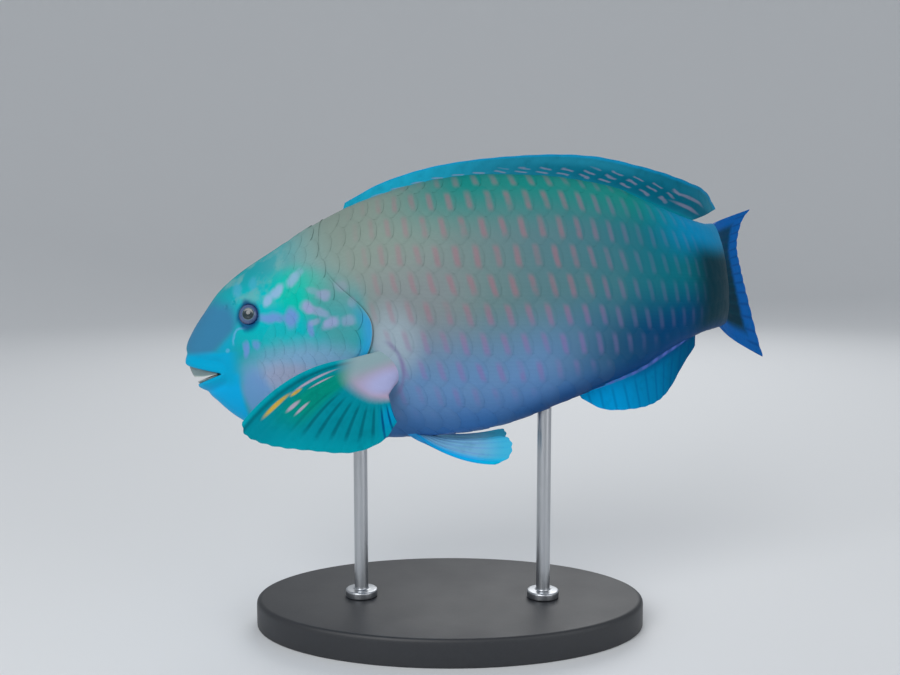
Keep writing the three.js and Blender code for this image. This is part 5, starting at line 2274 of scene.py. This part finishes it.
@dataclass
class PelvicFin(RayFin):
    """The pelvic fin, swept back under the belly."""

    root_half: float = 1.2 * MM
    bow: float = -0.013
    bow_fade: float = 0.55
    sunk: float = 1.0 * MM
    # share across, place and distance to the side of the root on the belly
    roots: Rows = ((0, 0.361, 0.033), (1, 0.377, 0.011))
    # share across, place, distance to the side and height of the tips
    tips: Rows = (
        (0, 0.484, 0.05, -0.236), (0.25, 0.505, 0.049, -0.228), (0.55, 0.513, 0.044, -0.21),
        (0.8, 0.508, 0.036, -0.199), (1, 0.494, 0.026, -0.197),
    )

    def surface(self, right: bool) -> Surface:
        """Sweeps the rays from the belly to their tips with a slight bow.

        Args:
            right: whether it is the right fin.

        Returns:
            The closed fin.
        """
        flip = -1 if right else 1

        def middle(share: Array, reach: Array) -> Array:
            """A point of the fin's middle surface."""
            place, left = (root(share) for root in Curve.each(self.roots))
            belly = self.form.spot(place, self.form.turn_at_left(place, left))[1]
            ends = zip((place, left, belly + self.sunk / self.form.length), Curve.each(self.tips))
            place, left, height = (mix(start, tip(share), reach) for start, tip in ends)
            bow = self.bow * 4 * reach * (1 - reach) * (1 - self.bow_fade * share)
            return self.form.to_world(place, flip * left, height + bow)

        return self.sheet(middle, self.root_half)

    def build(self, dress: FinFinish) -> Pieces:
        """Makes both pelvic fins."""
        return [self.piece(self.surface(right), "pelvic", dress, f"_{side}") for side, right in SIDES]


@dataclass
class Stand:
    """A flat oval base and two slim rods up to the belly."""

    form: BodyForm
    length: float = 170 * MM
    width: float = 104 * MM
    height: float = 12 * MM
    bevel: float = 2.5 * MM
    rod: float = 3 * MM
    collar: float = 7 * MM
    collar_height: float = 3 * MM
    gap: float = 0.3 * MM
    into_belly: float = 2.5 * MM
    base_sides: int = 160
    rod_sides: int = 48
    places: tuple[tuple[str, float], ...] = (("front", 0.275), ("rear", 0.575))

    def build(self, paint: StandFinish, steel: StandFinish) -> Pieces:
        """Turns the base and the rods.

        Args:
            paint: the base's finish.
            steel: the rods' finish.

        Returns:
            The three pieces.
        """
        radius, foot = self.length / 2, self.height + self.gap
        corners = ((0, 0, 0), (radius, 0, 1 * MM), (radius, self.height, self.bevel), (0, self.height, 0))
        base = lathe(rounded(corners), self.base_sides)
        base.points = base.points * np.array([1, self.width / self.length, 1])
        made = [base.piece("stand_foot", paint.material(), "stand_base", "stand_base", sharp=40)]
        for name, place in self.places:
            x, y, belly = self.form.to_world(place, 0, self.form.edge(place, False))
            top, neck = belly + self.into_belly, foot + self.collar_height
            corners = (
                (0, foot, 0), (self.collar, foot, 0.3 * MM), (self.collar, neck, 0.9 * MM),
                (self.rod, neck, 0.8 * MM), (self.rod, top, 0.5 * MM), (0, top, 0),
            )
            rod = lathe(rounded(corners), self.rod_sides)
            rod.points = rod.points + np.array([x, y, 0])
            node = f"stand_rod_{name}"
            made.append(rod.piece(f"stand_pin_{name}", steel.material(), "stand_rod", node, sharp=40))
        return made


@dataclass
class Studio:
    """A pale floor that sweeps up all round, soft lights, and the camera."""

    floor_tone: Colour = srgb(226, 228, 230)
    floor_mottle: Colour = srgb(205, 208, 212)
    flat_radius: float = 1.5
    sweep: float = 1.1
    sides: int = 96
    flat_rings: int = 11
    bend_rings: int = 23
    target: tuple[float, float, float] = (0.0, 0.011, 0.125)
    distance: float = 0.464
    elevation: float = math.radians(6)
    lens: float = 42.0
    sky: Colour = (0.86, 0.9, 0.95, 1.0)
    sky_strength: float = 0.45
    # where each light stands, its size and its power
    lights: tuple[tuple[str, tuple[float, float, float], float, float], ...] = (
        ("key", (-0.55, -1.0, 0.85), 1.0, 10.5),
        ("fill", (0.95, -0.8, 0.5), 1.0, 3.0),
        ("rim", (0.2, 1.1, 0.9), 0.9, 5.0),
    )

    def floor(self) -> Pieces:
        """A dish: flat to a radius, then a quarter circle up to its wall.

        Returns:
            The floor.
        """
        flat = np.linspace(0, self.flat_radius, self.flat_rings + 1)[1:]
        bend = np.linspace(0, QUARTER, self.bend_rings + 1)[1:]
        radius = np.append(flat, self.flat_radius + self.sweep * np.sin(bend))
        height = np.append(0 * flat, self.sweep * (1 - np.cos(bend)))
        rings, _ = turned_rings(radius, height, self.sides)
        points = np.append(rings.reshape(-1, 3), [[0, 0, 0]], axis=0)
        middle = fan_faces(len(points) - 1, np.arange(self.sides))
        faces = [grid_faces(len(radius), self.sides, loop=True), middle]
        paint = Paint("floor")
        mottle = paint.grain(3)
        paint.set(Base_Color=paint.layers(self.floor_tone, (mottle * 0.06, self.floor_mottle)),
                  Roughness=0.62 + mottle * 0.1)
        piece = Surface(points, [part[:, ::-1] for part in faces]).to_object("floor", paint.material)
        return [piece]

    def aimed(self, name: str, data: Any, spot: Vector) -> bpy.types.Object:
        """Stands a light or camera on its spot and aims it at the target.

        Args:
            name: the object's name.
            data: the light or camera.
            spot: where it stands.

        Returns:
            The object.
        """
        holder = bpy.data.objects.new(name, data)
        holder.location = spot
        holder.rotation_euler = (Vector(self.target) - spot).to_track_quat("-Z", "Y").to_euler()
        bpy.context.collection.objects.link(holder)
        return holder

    def shine(self) -> None:
        """Sets the soft lights and the sky's even glow."""
        for name, spot, size, power in self.lights:
            lamp = bpy.data.lights.new(name, "AREA")
            lamp.shape, lamp.size, lamp.energy = "DISK", size, power
            self.aimed(name, lamp, Vector(spot))
        world = bpy.data.worlds.new("studio")
        world.use_nodes = True
        glow = world.node_tree.nodes["Background"]
        glow.inputs["Color"].default_value = self.sky
        glow.inputs["Strength"].default_value = self.sky_strength
        bpy.context.scene.world = world
        bpy.context.scene.view_settings.view_transform = "Standard"

    def camera(self) -> None:
        """Looks at the fish's left side from a little above it."""
        lens = bpy.data.cameras.new("camera")
        lens.lens, lens.sensor_width = self.lens, 36.0
        lens.clip_start, lens.clip_end = 0.02, 20.0
        step = Vector((0, -math.cos(self.elevation), math.sin(self.elevation))) * self.distance
        bpy.context.scene.camera = self.aimed("camera", lens, Vector(self.target) + step)


def main() -> None:
    """Builds the fish, its stand and the studio."""
    logging.basicConfig(level=logging.INFO, format="%(name)s %(message)s")
    form = BodyForm()
    relief = HeadRelief(form)
    rows = ScaleRows(form)
    studio = Studio()
    studio.camera()
    studio.shine()
    black = StandFinish("stand_paint", tone=srgb(34, 36, 40), light=srgb(44, 46, 50), metallic=0.0,
                        roughness=0.42, grain=(900, 900, 900), depth=0.00004)
    steel = StandFinish("stand_steel", tone=srgb(168, 172, 176), light=srgb(196, 198, 202), metallic=1.0,
                        roughness=0.26, grain=(2400, 2400, 60), depth=0.00002)
    pieces = [
        *studio.floor(),
        *Skin(form, relief, rows).build(SkinFinish("skin", scaled=False)),
        *Coat(form, relief, rows).build(SkinFinish("scales", scaled=True)),
        *Eye(form, relief).build(EyeFinish()),
        *Beak(form, relief).build(BeakFinish()),
        *MiddleFin(form, 19, back=True, spread=DORSAL_SPREAD).build(FinFinish(FinPattern.DORSAL)),
        *MiddleFin(form, 12, back=False, spread=ANAL_SPREAD).build(FinFinish(FinPattern.ANAL)),
        *TailFin(form, 15).build(FinFinish(FinPattern.CAUDAL)),
        *PectoralFin(form, 14, ray_start=0.26, notch=0.006).build(FinFinish(FinPattern.PECTORAL)),
        *PelvicFin(form, 6).build(FinFinish(FinPattern.PELVIC)),
        *Stand(form).build(black, steel),
    ]
    for piece in pieces:
        log.info("%s: %d faces", piece.name, len(piece.data.polygons))


if __name__ == "__main__":
    main()
